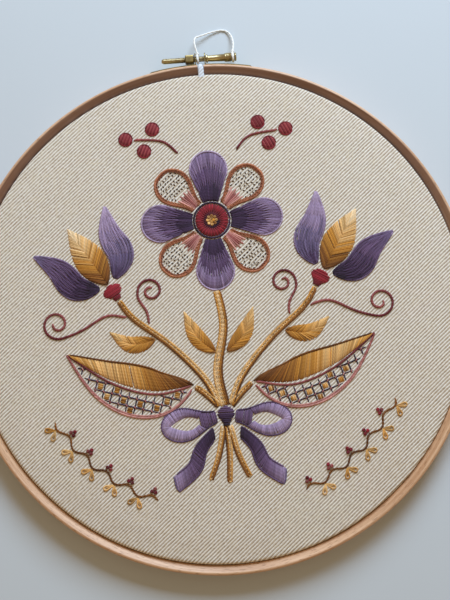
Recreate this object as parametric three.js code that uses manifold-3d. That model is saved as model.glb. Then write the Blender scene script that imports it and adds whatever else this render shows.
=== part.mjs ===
// Crewel embroidery panel: wool stitched on linen twill, held in a round wooden hoop with a brass screw.
// Millimetres, +Z up. The hoop lies on the back edges of its rings at z = 0, with the cloth's face up
// and the screw towards +Y. The origin is the middle of its base, lugs included, and the pieces are placed
// about the hoop's own centre. The stitched shapes are low pads on the cloth.
import * as THREE from "three";
import { mergeVertices } from "three/addons/utils/BufferGeometryUtils.js";
import Module from "manifold-3d";

const wasm = await Module();
wasm.setup();

// Hoop and cloth
const HOOP_SIZE = 254; // across the inner ring, the size that a hoop is sold by
const GAP = 0.3; // between pieces that touch
const ROUND_STEPS = 72;
const RING_DEPTH = 12;
const OUTER_RING_WIDTH = 5.2;
const INNER_RING_WIDTH = 5;
const RING_SPLIT = 3.2;
const FACE_SLOPE = THREE.MathUtils.degToRad(35); // the outer ring's front falls towards the cloth
const CREST_ROUND = 1.5;
const INNER_RING_ROUND = 1.5;
const EDGE_BREAK = 0.6;
const CLOTH_THICKNESS = 1;
const CLOTH_PROUD = 0.3; // the cloth's face above the outer ring's crest
const CLOTH_EDGE_HEIGHT = 1; // the trimmed edge between the rings, above their back edges

const INNER_RADIUS = HOOP_SIZE / 2;
const SKIRT_INSIDE = INNER_RADIUS + GAP;
const SKIRT_OUTSIDE = SKIRT_INSIDE + CLOTH_THICKNESS;
const SPLIT_RING_INSIDE = SKIRT_OUTSIDE + GAP;
const OUTER_RADIUS = SPLIT_RING_INSIDE + OUTER_RING_WIDTH;
const CLOTH_TOP = RING_DEPTH + CLOTH_PROUD;
const CLOTH_UNDERSIDE = CLOTH_TOP - CLOTH_THICKNESS;
const INNER_RING_DEPTH = CLOTH_UNDERSIDE - GAP;

// Brass fittings
const LUG_THICKNESS = 0.6;
const EAR_THICKNESS = 0.8;
const EAR_INNER_X = 2.2;
const EAR_REACH = 7.3; // from the strip's underside to the ear's tip
const EAR_ROUND = 2;
const LUG_WIDTH = 8;
const LUG_LENGTH = 24;
const TACK_X = 21;
const TACK_RADIUS = 1.6;
const TACK_HEIGHT = 1;
const SCREW_HEIGHT = RING_DEPTH / 2;
const SCREW_Y = OUTER_RADIUS + 4.8;
const ROD_RADIUS = 1.5;
const NECK_RADIUS = 1.7;
const HOLE_RADIUS = ROD_RADIUS + GAP;
const NUT_SIZE = 4.4;
const NUT_LENGTH = 4.7;
const SLOT_WIDTH = 0.8;
const SLOT_DEPTH = 0.7;
const SCREW_END = 19.6;

const STRIP_INSIDE = OUTER_RADIUS + GAP;
const STRIP_OUTSIDE = STRIP_INSIDE + LUG_THICKNESS;
const EAR_OUTER_X = EAR_INNER_X + EAR_THICKNESS;
const EAR_TIP = STRIP_INSIDE + EAR_REACH;
const HOOP_CENTRE_Y = (OUTER_RADIUS - EAR_TIP) / 2;

// The screw from its tip to its slotted end: radius, and place along X
const SCREW_SECTIONS = [
  { radius: 0, x: -20.7 },
  { radius: 0.8, x: -20.7 },
  { radius: ROD_RADIUS, x: -19.7 },
  { radius: ROD_RADIUS, x: EAR_OUTER_X + GAP },
  { radius: 2.3, x: EAR_OUTER_X + GAP },
  { radius: 2.3, x: 4.1 },
  { radius: 1.6, x: 4.4 },
  { radius: 2, x: 13.2 },
  { radius: 2.5, x: 13.6 },
  { radius: 2.5, x: 16.8 },
  { radius: NECK_RADIUS, x: 17.05 },
  { radius: NECK_RADIUS, x: 18.45 },
  { radius: 2.3, x: 18.7 },
  { radius: 2.3, x: 19.3 },
  { radius: 1.9, x: SCREW_END },
  { radius: 0, x: SCREW_END },
];
const SCREW_STEPS = 20;

// White thread, tied round the screw at both ends and lying on the table between
const THREAD_RADIUS = 0.45;
const THREAD_STEPS = 24;
const TIES = [
  { name: "thread_tie_left", x: -1.2, core: ROD_RADIUS },
  { name: "thread_tie_right", x: 17.75, core: NECK_RADIUS },
];
const THREAD_ROUTE = [
  [-1.2, 141.6, 6],
  [-1.6, 143.4, 6],
  [-2.1, 145.6, 5.8],
  [-2.4, 147.9, 5.3],
  [-2.3, 150, 4.7],
  [-1.4, 151.6, 3.9],
  [0.3, 152.4, 3.2],
  [2.6, 153.2, 2.5],
  [5.2, 154.2, 1.8],
  [7.8, 155, 1.2],
  [10.4, 155.6, 0.8],
  [12.8, 155.8, 0.5],
  [15, 155.2, 0.6],
  [16.8, 153.6, 1.2],
  [17.9, 151.2, 2.2],
  [18.4, 148.4, 3.5],
  [18.4, 145.4, 4.8],
  [17.8, 141.8, 6],
];

// Embroidery. Shapes are listed for the right half and mirrored to the left.
const PAD_HEIGHT = 1;
const PAD_BASE = CLOTH_TOP + GAP;
const DESIGN_RAISE = 5; // the design sits a little above the hoop's middle
const BLADE_STEPS = 10;
const OUTLINE_WIDTH = 2;

const FLOWER_CENTRE = [0, 44];
const PETAL_COUNT = 8;
const PETAL_START = 10.5;
const PETAL_END = 37;
const PETAL_WIDTH = 19.6;
const EYE_RADIUS = 8.6;

const TULIP_FOOT = [54, 10];
const TULIP_TILT = THREE.MathUtils.degToRad(-32);
// Spines in the tulip's own frame: across, then up from its foot
const TULIP_SIDE = [[4.5, 4.8], [14.5, 13], [16.5, 26], [23, 40]];
const TULIP_PIECES = [
  { label: "heart", spine: [[0, 5], [0, 22], [0, 41]], width: 17, profile: leafWidth, colour: "gold" },
  { label: "outer", spine: TULIP_SIDE, width: 14, profile: leafWidth, colour: "purple" },
  { label: "inner", spine: mirrored(TULIP_SIDE), width: 14, profile: leafWidth, colour: "lilac" },
  { label: "cup", spine: [[0, -4.5], [0, 0], [0, 3.6]], width: 11, profile: petalWidth, colour: "crimson" },
];

const BIG_LEAF = { spine: [[15.5, -41.5], [36, -44.5], [58, -37], [80, -21]], width: 27 };
const BIG_LEAF_RIB = 0.09; // half of the bare midrib, as a share of the half width
const BIG_LEAF_OPEN_SPAN = [0.14, 0.88];
const SMALL_LEAVES = [
  { spine: [[3.2, -25], [12, -17], [18, -3]], width: 9 },
  { spine: [[34, -16.5], [46, -18.5], [57, -11]], width: 9 },
];
const STEM_SETS = [
  {
    name: "stems",
    pieces: [
      { spine: [[0, -53], [-2.5, -35], [2, -12], [0, 6.4]], width: 5 },
      { spine: [[2.9, -53], [10, -38], [26, -20], [44, -5], [51, 4.8]], width: 3.4, mirrored: true },
      { spine: [[3.2, -53], [9, -47], [14.4, -42.4]], width: 3.2, mirrored: true },
    ],
  },
  {
    name: "stem_ends",
    pieces: [
      { spine: [[0, -63.5], [0.6, -76], [-0.5, -92]], width: 3.2 },
      { spine: [[1.6, -63.5], [5, -78], [10, -90]], width: 3, mirrored: true },
    ],
  },
];
const TENDRIL_WIDTH = 2;
const TENDRILS = [
  { lead: [[47.8, -4], [58, -2.5], [71, -9]], centre: [84, -5], radius: 8, from: -115, turns: 1.35 },
  { lead: [[36.5, -8], [37, -2], [41, 5]], centre: [34.5, 9], radius: 7, from: -10, turns: 1.35 },
];
const SPRIG = { spine: [[15.5, 81], [23, 88], [38, 90]], width: 2 };
const BERRY_RADIUS = 3.6;
const BERRIES = [
  [42.4, 90.4],
  [28, 95],
  [33, 83.4],
];
const BOW_KNOT = { spine: [[0, -63], [0, -58], [0, -53.6]], width: 9 };
const BOW_LOOP = { spine: [[5.2, -58.6], [18, -61], [33.5, -62.5]], width: 17 };
const BOW_LOOP_HOLE = { spine: [[13, -60.2], [20, -61.2], [29, -62]], width: 7 };
const BOW_TAIL = { spine: [[5.6, -65.5], [14, -74.5], [18, -84], [29, -92]], width: 8 };

const COLOURS = {
  wood: 0xc79a72,
  linen: 0xd6ccba,
  brass: 0xc8a452,
  thread: 0xf2f1ec,
  purple: 0x4f3f68,
  lilac: 0x8f7ba6,
  gold: 0xb98238,
  straw: 0xd9b676,
  rose: 0x9a5866,
  crimson: 0x86203a,
  rust: 0x8c4630,
};

const part = new THREE.Group();
const hoop = new THREE.Group();
hoop.position.y = HOOP_CENTRE_Y;
part.add(hoop);

function addPiece(name, geometry, colour, roughness = 0.9, metalness = 0) {
  const material = new THREE.MeshStandardMaterial({ color: COLOURS[colour], roughness, metalness });
  const mesh = new THREE.Mesh(geometry, material);
  mesh.name = name;
  hoop.add(mesh);
  return mesh;
}

function solidOf(geometry) {
  const bare = geometry.clone();
  bare.deleteAttribute("normal");
  bare.deleteAttribute("uv");
  const merged = mergeVertices(bare, 1e-3);
  return new wasm.Manifold(
    new wasm.Mesh({
      numProp: 3,
      vertProperties: new Float32Array(merged.attributes.position.array),
      triVerts: new Uint32Array(merged.index.array),
    }),
  );
}

function geometryOf(solid) {
  const mesh = solid.getMesh();
  const geometry = new THREE.BufferGeometry();
  geometry.setAttribute("position", new THREE.BufferAttribute(mesh.vertProperties, 3));
  geometry.setIndex(new THREE.BufferAttribute(mesh.triVerts, 1));
  geometry.computeVertexNormals();
  return geometry;
}

const vectors = (points) => points.map(([x, y]) => new THREE.Vector2(x, y));

function mirrored(points) {
  return points.map(([x, y]) => [-x, y]);
}

// Points of a quarter round from angle a to angle b, in degrees
function quarter(centreR, centreZ, radius, a, b, steps = 3) {
  const points = [];
  for (let k = 0; k <= steps; k += 1) {
    const angle = THREE.MathUtils.degToRad(a + ((b - a) * k) / steps);
    points.push([centreR + radius * Math.cos(angle), centreZ + radius * Math.sin(angle)]);
  }
  return points;
}

// A section of radius and height turned about the hoop's axis
function turned(section) {
  return new THREE.LatheGeometry(vectors(section), ROUND_STEPS).rotateX(Math.PI / 2);
}

// A shape drawn in Y and Z, given a thickness along X
function alongX(shape, length, startX) {
  const options = { depth: length, bevelEnabled: false, curveSegments: 12 };
  const geometry = new THREE.ExtrudeGeometry(shape, options);
  const turn = new THREE.Matrix4().makeBasis(
    new THREE.Vector3(0, 1, 0),
    new THREE.Vector3(0, 0, 1),
    new THREE.Vector3(1, 0, 0),
  );
  return geometry.applyMatrix4(turn).translate(startX, 0, 0);
}

function screwHole() {
  return new THREE.Path().absarc(SCREW_Y, SCREW_HEIGHT, HOLE_RADIUS, 0, 2 * Math.PI);
}

// Outer ring: a bent wooden strip with a sloping front, split where the screw draws it together.
function addOuterRing() {
  const slopeRun = OUTER_RING_WIDTH - CREST_ROUND - EDGE_BREAK;
  const slopeEnd = RING_DEPTH - slopeRun * Math.tan(FACE_SLOPE);
  const crestR = OUTER_RADIUS - CREST_ROUND;
  const section = [
    [SPLIT_RING_INSIDE, EDGE_BREAK],
    [SPLIT_RING_INSIDE + EDGE_BREAK, 0],
    [OUTER_RADIUS - EDGE_BREAK, 0],
    [OUTER_RADIUS, EDGE_BREAK],
    ...quarter(crestR, RING_DEPTH - CREST_ROUND, CREST_ROUND, 0, 90),
    [SPLIT_RING_INSIDE + EDGE_BREAK, slopeEnd],
    [SPLIT_RING_INSIDE, slopeEnd - EDGE_BREAK],
    [SPLIT_RING_INSIDE, EDGE_BREAK],
  ];
  const cut = new THREE.BoxGeometry(RING_SPLIT, 4 * OUTER_RING_WIDTH, 3 * RING_DEPTH);
  cut.translate(0, OUTER_RADIUS, 0);
  const ring = solidOf(turned(section)).subtract(solidOf(cut));
  addPiece("outer_ring", geometryOf(ring), "wood", 0.6);
}

// Inner ring: a closed wooden hoop, rounded where the cloth turns over it.
function addInnerRing() {
  const inside = INNER_RADIUS - INNER_RING_WIDTH;
  const section = [
    [inside, EDGE_BREAK],
    [inside + EDGE_BREAK, 0],
    [INNER_RADIUS - EDGE_BREAK, 0],
    [INNER_RADIUS, EDGE_BREAK],
    ...quarter(INNER_RADIUS - INNER_RING_ROUND, INNER_RING_DEPTH - INNER_RING_ROUND, INNER_RING_ROUND, 0, 90),
    [inside + EDGE_BREAK, INNER_RING_DEPTH],
    [inside, INNER_RING_DEPTH - EDGE_BREAK],
    [inside, EDGE_BREAK],
  ];
  addPiece("inner_ring", turned(section), "wood", 0.6);
}

// Cloth: one round piece, flat over the inner ring and turned down between the two rings.
function addCloth() {
  const bendR = INNER_RADIUS - INNER_RING_ROUND;
  const bendZ = INNER_RING_DEPTH - INNER_RING_ROUND;
  const section = [
    [0, CLOTH_UNDERSIDE],
    ...quarter(bendR, bendZ, SKIRT_INSIDE - bendR, 90, 0),
    [SKIRT_INSIDE, CLOTH_EDGE_HEIGHT],
    [SKIRT_OUTSIDE, CLOTH_EDGE_HEIGHT],
    ...quarter(bendR, bendZ, SKIRT_OUTSIDE - bendR, 0, 90),
    [0, CLOTH_TOP],
  ];
  addPiece("cloth", turned(section), "linen");
}

// A brass lug: a strip tacked along the ring's side, bent out into an ear with a hole for the screw.
function addLug(name, side) {
  const fromX = side * EAR_INNER_X;
  const toX = side * (EAR_INNER_X + LUG_LENGTH);
  const angleAt = (x) => Math.acos(x / STRIP_OUTSIDE);
  const strip = new THREE.Shape();
  strip.absarc(0, 0, STRIP_OUTSIDE, angleAt(fromX), angleAt(toX), side > 0);
  strip.absarc(0, 0, STRIP_INSIDE, angleAt(toX), angleAt(fromX), side < 0);
  const stripBase = SCREW_HEIGHT - LUG_WIDTH / 2;
  const options = { depth: LUG_WIDTH, bevelEnabled: false, curveSegments: 8 };
  const stripSolid = new THREE.ExtrudeGeometry(strip, options).translate(0, 0, stripBase);

  const top = stripBase + LUG_WIDTH;
  const ear = new THREE.Shape();
  ear.moveTo(STRIP_INSIDE, stripBase);
  ear.lineTo(EAR_TIP - EAR_ROUND, stripBase);
  ear.absarc(EAR_TIP - EAR_ROUND, stripBase + EAR_ROUND, EAR_ROUND, -Math.PI / 2, 0);
  ear.absarc(EAR_TIP - EAR_ROUND, top - EAR_ROUND, EAR_ROUND, 0, Math.PI / 2);
  ear.lineTo(STRIP_INSIDE, top);
  ear.holes.push(screwHole());
  const earSolid = alongX(ear, EAR_THICKNESS, side > 0 ? EAR_INNER_X : -EAR_OUTER_X);
  addPiece(name, geometryOf(solidOf(stripSolid).add(solidOf(earSolid))), "brass", 0.35, 1);
}

// A domed tack head on a lug's strip.
function addTack(name, side) {
  const section = [
    [0, 0],
    [TACK_RADIUS, 0],
    [0.85 * TACK_RADIUS, 0.6 * TACK_HEIGHT],
    [0.5 * TACK_RADIUS, 0.9 * TACK_HEIGHT],
    [0, TACK_HEIGHT],
  ];
  const angle = side * Math.asin(TACK_X / STRIP_OUTSIDE);
  const seat = STRIP_OUTSIDE + GAP;
  const tack = addPiece(name, new THREE.LatheGeometry(vectors(section), 12), "brass", 0.35, 1);
  tack.rotation.z = -angle;
  tack.position.set(seat * Math.sin(angle), seat * Math.cos(angle), SCREW_HEIGHT);
}

// A square nut on the screw, beside the left ear.
function addNut() {
  const half = NUT_SIZE / 2;
  const nut = new THREE.Shape();
  nut.moveTo(SCREW_Y - half, SCREW_HEIGHT - half);
  nut.lineTo(SCREW_Y + half, SCREW_HEIGHT - half);
  nut.lineTo(SCREW_Y + half, SCREW_HEIGHT + half);
  nut.lineTo(SCREW_Y - half, SCREW_HEIGHT + half);
  nut.holes.push(screwHole());
  addPiece("nut", alongX(nut, NUT_LENGTH, -EAR_OUTER_X - GAP - NUT_LENGTH), "brass", 0.35, 1);
}

// The thumb screw: rod, collar, tapered shank, head, neck and slotted end.
function addScrew() {
  const section = SCREW_SECTIONS.map(({ radius, x }) => [radius, x]);
  const turnedScrew = new THREE.LatheGeometry(vectors(section), SCREW_STEPS).rotateZ(-Math.PI / 2);
  const slot = new THREE.BoxGeometry(2 * SLOT_DEPTH, SLOT_WIDTH, 4 * ROD_RADIUS);
  slot.translate(SCREW_END, 0, 0);
  const slotted = solidOf(turnedScrew).subtract(solidOf(slot));
  addPiece("thumb_screw", geometryOf(slotted), "brass", 0.35, 1).position.set(0, SCREW_Y, SCREW_HEIGHT);
}

// White thread: a ring of it tied round the screw at each end, and the slack length between them.
function addThread() {
  for (const { name, x, core } of TIES) {
    const loop = new THREE.TorusGeometry(core + GAP + THREAD_RADIUS, THREAD_RADIUS, 8, 16);
    addPiece(name, loop.rotateY(Math.PI / 2), "thread").position.set(x, SCREW_Y, SCREW_HEIGHT);
  }
  const route = THREAD_ROUTE.map(([x, y, z]) => new THREE.Vector3(x, y, z));
  const section = new THREE.Shape().absarc(0, 0, THREAD_RADIUS, 0, 2 * Math.PI);
  const geometry = new THREE.ExtrudeGeometry(section, {
    extrudePath: new THREE.CatmullRomCurve3(route),
    steps: THREAD_STEPS,
    curveSegments: 8,
  });
  addPiece("hanging_thread", geometry, "thread");
}

// Half widths along a shape, from its start at 0 to its end at 1, as a share of the greatest
function leafWidth(u) {
  return Math.sin(Math.PI * u ** 0.8);
}

function petalWidth(u) {
  const shoulder = 0.62;
  const foot = 0.36;
  if (u < shoulder) {
    return foot + ((1 - foot) * (1 - Math.cos((Math.PI * u) / shoulder))) / 2;
  }
  return Math.sqrt(Math.max(0, 1 - ((u - shoulder) / (1 - shoulder)) ** 2));
}

function stemWidth(u) {
  return 1 - 0.3 * u;
}

function ribbonWidth(u) {
  return 0.55 + 0.45 * Math.sin((Math.PI / 2) * u);
}

// The outline of a flat shape laid along a spine, between two shares of its half width,
// over the whole spine or a stretch of it, and to one side of the spine by a share of the full shape.
function bladeOutline(shape) {
  const { spine, width, profile, left = 1, right = -1 } = shape;
  const { aside = 0, span = [0, 1], steps = BLADE_STEPS } = shape;
  const curve = new THREE.SplineCurve(vectors(spine));
  const edgePoint = (share, step) => {
    const u = (1 - Math.cos((Math.PI * step) / steps)) / 2;
    const along = span[0] + (span[1] - span[0]) * u;
    const point = curve.getPointAt(along);
    const tangent = curve.getTangentAt(along);
    const reach = ((share * profile(u) + aside * profile(along)) * width) / 2;
    return new THREE.Vector2(point.x - tangent.y * reach, point.y + tangent.x * reach);
  };
  const points = [];
  for (let step = 0; step <= steps; step += 1) {
    points.push(edgePoint(right, step));
  }
  for (let step = steps; step >= 0; step -= 1) {
    points.push(edgePoint(left, step));
  }
  return points.filter((point, k) => point.distanceTo(points[(k + 1) % points.length]) > 0.05);
}

function pad(outline, hole) {
  const shape = new THREE.Shape(outline);
  if (hole) {
    shape.holes.push(new THREE.Path(hole));
  }
  const geometry = new THREE.ExtrudeGeometry(shape, { depth: PAD_HEIGHT, bevelEnabled: false });
  return geometry.translate(0, DESIGN_RAISE, PAD_BASE);
}

// An open shape: only its outline is stitched, the cloth shows inside.
function outlinePad(shape, endShare = 0.1) {
  const inside = { ...shape, width: shape.width - 2 * OUTLINE_WIDTH, span: [endShare, 1 - endShare] };
  return pad(bladeOutline(shape), bladeOutline(inside));
}

function disc(centre, radius) {
  const round = new THREE.Shape().absarc(centre[0], centre[1], radius, 0, 2 * Math.PI);
  return pad(round.getPoints(9));
}

// The round flower: filled purple petals and open rust petals by turns, about a crimson eye.
function addFlower() {
  const [cx, cy] = FLOWER_CENTRE;
  for (let k = 0; k < PETAL_COUNT; k += 1) {
    const angle = Math.PI / 2 + (2 * Math.PI * k) / PETAL_COUNT;
    const out = (r) => [cx + r * Math.cos(angle), cy + r * Math.sin(angle)];
    const spine = [out(PETAL_START), out((PETAL_START + PETAL_END) / 2), out(PETAL_END)];
    const shape = { spine, width: PETAL_WIDTH, profile: petalWidth };
    const filled = k % 2 === 0;
    const geometry = filled ? pad(bladeOutline(shape)) : outlinePad(shape);
    addPiece("petal_" + (k + 1), geometry, filled ? "purple" : "rust");
  }
  addPiece("flower_eye", disc(FLOWER_CENTRE, EYE_RADIUS), "crimson");
}

function addTulip(side, fit) {
  const [footX, footY] = TULIP_FOOT;
  const cos = Math.cos(TULIP_TILT);
  const sin = Math.sin(TULIP_TILT);
  const placed = ([across, up]) => [footX + across * cos - up * sin, footY + across * sin + up * cos];
  for (const { label, spine, width, profile, colour } of TULIP_PIECES) {
    const outline = bladeOutline({ spine: fit(spine.map(placed)), width, profile });
    addPiece("tulip_" + side + "_" + label, pad(outline), colour);
  }
}

// A broad leaf: one half filled, the other an outline round a lattice.
function addBigLeaf(side, fit) {
  const upper = side === "right" ? 1 : -1;
  const shape = { spine: fit(BIG_LEAF.spine), width: BIG_LEAF.width, profile: leafWidth };
  const rib = BIG_LEAF_RIB;
  const half = (way) => (way > 0 ? { ...shape, left: 1, right: rib } : { ...shape, left: -rib, right: -1 });
  addPiece("big_leaf_" + side + "_filled", pad(bladeOutline(half(upper))), "gold");
  const open = half(-upper);
  const middle = (open.left + open.right) / 2;
  const reach = (open.left - open.right) / 2 - (2 * OUTLINE_WIDTH) / BIG_LEAF.width;
  const inside = { ...shape, left: reach, right: -reach, aside: middle, span: BIG_LEAF_OPEN_SPAN };
  addPiece("big_leaf_" + side + "_open", pad(bladeOutline(open), bladeOutline(inside)), "rose");
}

function addTendril(name, { lead, centre, radius, from, turns }, fit) {
  const coilPoints = 14;
  const innerShare = 0.25;
  const spine = [...lead];
  for (let k = 0; k <= coilPoints; k += 1) {
    const share = k / coilPoints;
    const angle = THREE.MathUtils.degToRad(from + 360 * turns * share);
    const r = radius * (1 - (1 - innerShare) * share);
    spine.push([centre[0] + r * Math.cos(angle), centre[1] + r * Math.sin(angle)]);
  }
  const outline = bladeOutline({ spine: fit(spine), width: TENDRIL_WIDTH, profile: () => 1, steps: 30 });
  addPiece(name, pad(outline), "rose");
}

function addStems() {
  for (const { name, pieces } of STEM_SETS) {
    let joined = null;
    for (const { spine, width, mirrored: both } of pieces) {
      const spines = both ? [spine, mirrored(spine)] : [spine];
      for (const one of spines) {
        const solid = solidOf(pad(bladeOutline({ spine: one, width, profile: stemWidth })));
        joined = joined ? joined.add(solid) : solid;
      }
    }
    addPiece(name, geometryOf(joined), "straw");
  }
}

function addBow(side, fit) {
  const loop = bladeOutline({ spine: fit(BOW_LOOP.spine), width: BOW_LOOP.width, profile: petalWidth });
  const { spine, width } = BOW_LOOP_HOLE;
  const hole = bladeOutline({ spine: fit(spine), width, profile: leafWidth });
  addPiece("bow_loop_" + side, pad(loop, hole), "lilac");
  const tail = bladeOutline({ spine: fit(BOW_TAIL.spine), width: BOW_TAIL.width, profile: ribbonWidth });
  addPiece("bow_tail_" + side, pad(tail), "purple");
}

const HALVES = [
  { side: "right", fit: (spine) => spine },
  { side: "left", fit: mirrored },
];

addOuterRing();
addInnerRing();
addCloth();
for (const { side } of HALVES) {
  const sign = side === "right" ? 1 : -1;
  addLug("lug_" + side, sign);
  addTack("tack_" + side, sign);
}
addNut();
addScrew();
addThread();
addStems();
addFlower();
for (const { side, fit } of HALVES) {
  addTulip(side, fit);
  addBigLeaf(side, fit);
  SMALL_LEAVES.forEach((leaf, k) => {
    const outline = bladeOutline({ spine: fit(leaf.spine), width: leaf.width, profile: leafWidth });
    addPiece("small_leaf_" + side + "_" + (k + 1), pad(outline), "gold");
  });
  TENDRILS.forEach((tendril, k) => addTendril("tendril_" + side + "_" + (k + 1), tendril, fit));
  const sprig = bladeOutline({ spine: fit(SPRIG.spine), width: SPRIG.width, profile: stemWidth });
  addPiece("sprig_" + side, pad(sprig), "rose");
  fit(BERRIES).forEach((centre, k) => {
    addPiece("berry_" + side + "_" + (k + 1), disc(centre, BERRY_RADIUS), "crimson");
  });
  addBow(side, fit);
}
const knot = bladeOutline({ spine: BOW_KNOT.spine, width: BOW_KNOT.width, profile: petalWidth });
addPiece("bow_knot", pad(knot), "purple");

export default part;
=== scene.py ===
from math import asin, cos, pi, radians, sin, tan, tau

import bmesh
import bpy
import numpy as np
from mathutils import Matrix, Vector


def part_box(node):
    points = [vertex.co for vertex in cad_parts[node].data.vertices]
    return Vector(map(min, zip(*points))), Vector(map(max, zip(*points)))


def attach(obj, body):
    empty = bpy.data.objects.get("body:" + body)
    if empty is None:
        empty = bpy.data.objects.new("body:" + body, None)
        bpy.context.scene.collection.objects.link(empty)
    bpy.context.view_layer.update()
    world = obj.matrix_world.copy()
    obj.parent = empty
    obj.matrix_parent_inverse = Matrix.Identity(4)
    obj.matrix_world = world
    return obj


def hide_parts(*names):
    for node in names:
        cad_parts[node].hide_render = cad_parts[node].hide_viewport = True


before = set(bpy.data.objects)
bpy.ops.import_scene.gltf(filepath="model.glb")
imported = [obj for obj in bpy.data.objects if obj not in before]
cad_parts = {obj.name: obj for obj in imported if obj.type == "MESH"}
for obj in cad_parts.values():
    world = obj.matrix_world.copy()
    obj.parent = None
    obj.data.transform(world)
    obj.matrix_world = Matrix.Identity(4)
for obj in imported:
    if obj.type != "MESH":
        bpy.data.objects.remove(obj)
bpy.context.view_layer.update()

# The view: the hoop lies on a table and is seen from above, a little from the foot of the picture.
# It is turned a few degrees anticlockwise there, so the picture's up and right lean the other way.
MM = 0.001
HOOP_TURN = radians(4.2)
VIEW_TILT = radians(7.5)
VIEW_DISTANCE = 650 * MM
VIEW_HEIGHT = 311.8 * MM
AIM_RIGHT, AIM_UP, AIM_HEIGHT = 3.3 * MM, 6.75 * MM, 12 * MM
SENSOR = 36


def put(name, data):
    """A new object in the scene that holds a camera, a mesh or a light."""
    item = bpy.data.objects.new(name, data)
    bpy.context.scene.collection.objects.link(item)
    return item


ring_low, ring_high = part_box("inner_ring")
hoop_y = (ring_low.y + ring_high.y) / 2
table_up = Vector((0, 0, 1))
picture_up = Vector((sin(HOOP_TURN), cos(HOOP_TURN), 0))
picture_right = Vector((cos(HOOP_TURN), -sin(HOOP_TURN), 0))
aim = Vector((0, hoop_y, AIM_HEIGHT)) + AIM_RIGHT * picture_right + AIM_UP * picture_up
to_camera = cos(VIEW_TILT) * table_up - sin(VIEW_TILT) * picture_up
camera_up = sin(VIEW_TILT) * table_up + cos(VIEW_TILT) * picture_up

camera = put("camera", bpy.data.cameras.new("camera"))
camera.data.sensor_width = SENSOR
camera.data.lens = SENSOR * VIEW_DISTANCE / VIEW_HEIGHT
camera.matrix_world = Matrix((picture_right, camera_up, to_camera)).transposed().to_4x4()
camera.location = aim + VIEW_DISTANCE * to_camera
bpy.context.scene.camera = camera
bpy.context.scene.view_settings.view_transform = "Standard"

# The hanging thread: a slack length of white two-ply cotton, tied round the screw between the brass ears
# and again behind the screw's head. It lies over on the table, with a knot at each end.
THREAD_WIDTH, THREAD_TWIST, THREAD_WHITE = 0.9, 2.4, "f4f3ee"
THREAD_STEPS, THREAD_SIDES, THREAD_PLY = 320, 12, 0.14
THREAD_ROUTE = [
    (-1.2, 141.6, 6.0), (-1.6, 143.4, 6.0), (-2.1, 145.6, 5.8), (-2.4, 147.9, 5.3), (-2.3, 150.0, 4.7),
    (-1.4, 151.6, 3.9), (0.3, 152.4, 3.2), (2.6, 153.2, 2.5), (5.2, 154.2, 1.8), (7.8, 155.0, 1.2),
    (10.4, 155.6, 0.8), (12.8, 155.8, 0.5), (15.0, 155.2, 0.6), (16.8, 153.6, 1.2), (17.9, 151.2, 2.2),
    (18.4, 148.4, 3.5), (18.4, 145.4, 4.8), (17.8, 141.8, 6.0),
]
SCREW_Y, SCREW_HEIGHT = 138.6, 6.0
TIES = [("left", -1.2, 1.5), ("right", 17.75, 1.7)]
TIE_TURNS, TIE_SPREAD, TIE_STEPS, TIE_STRAND, TIE_CLEAR = 2, 0.9, 60, 0.84, 0.3
KNOT_TURNS, KNOT_SPREAD, KNOT_STEPS, KNOT_STRAND = 1.6, 0.5, 30, 0.8
KNOT_RADIUS, KNOT_OUT = 0.62, 0.75
TIE_SIDES, TIE_PLY = 10, 0.12
X_WAY, Y_WAY, Z_WAY = np.eye(3)
CURVE_STEPS = 40
FIBRE_SCALE, PLY_PAINTED_SHADE, PLY_HEIGHT, YARN_RELIEF = 2600.0, 0.07, 0.5, 0.1


def unit(vectors):
    """Vectors of the same directions, each one long."""
    return vectors / np.linalg.norm(vectors, axis=-1, keepdims=True)


def run_along(line):
    """How far along a line each of its points is."""
    return np.append(0, np.cumsum(np.linalg.norm(np.diff(line, axis=0), axis=1)))


def length_of(line):
    """A line's whole length."""
    return float(run_along(line)[-1])


def in_hoop(points):
    """Points given in millimetres from the hoop's middle, in the scene's metres."""
    return points * MM + (0, hoop_y, 0)


def smooth_line(knots, count):
    """Evenly spaced points on a smooth line through the knots."""
    knots = np.array(knots, float)
    pull = (np.vstack([knots[1:], knots[-1:]]) - np.vstack([knots[:1], knots[:-1]])) / 2
    t = np.linspace(0, 1, CURVE_STEPS, endpoint=False)[:, None]
    line = []
    for here, there, leave, arrive in zip(knots, knots[1:], pull, pull[1:]):
        chord = here * (2 * t**3 - 3 * t**2 + 1) + there * (3 * t**2 - 2 * t**3)
        line.append(chord + leave * (t**3 - 2 * t**2 + t) + arrive * (t**3 - t**2))
    line = np.vstack(line + [knots[-1:]])
    run = run_along(line)
    even = np.linspace(0, run[-1], count)
    return np.column_stack([np.interp(even, run, column) for column in line.T])


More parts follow.
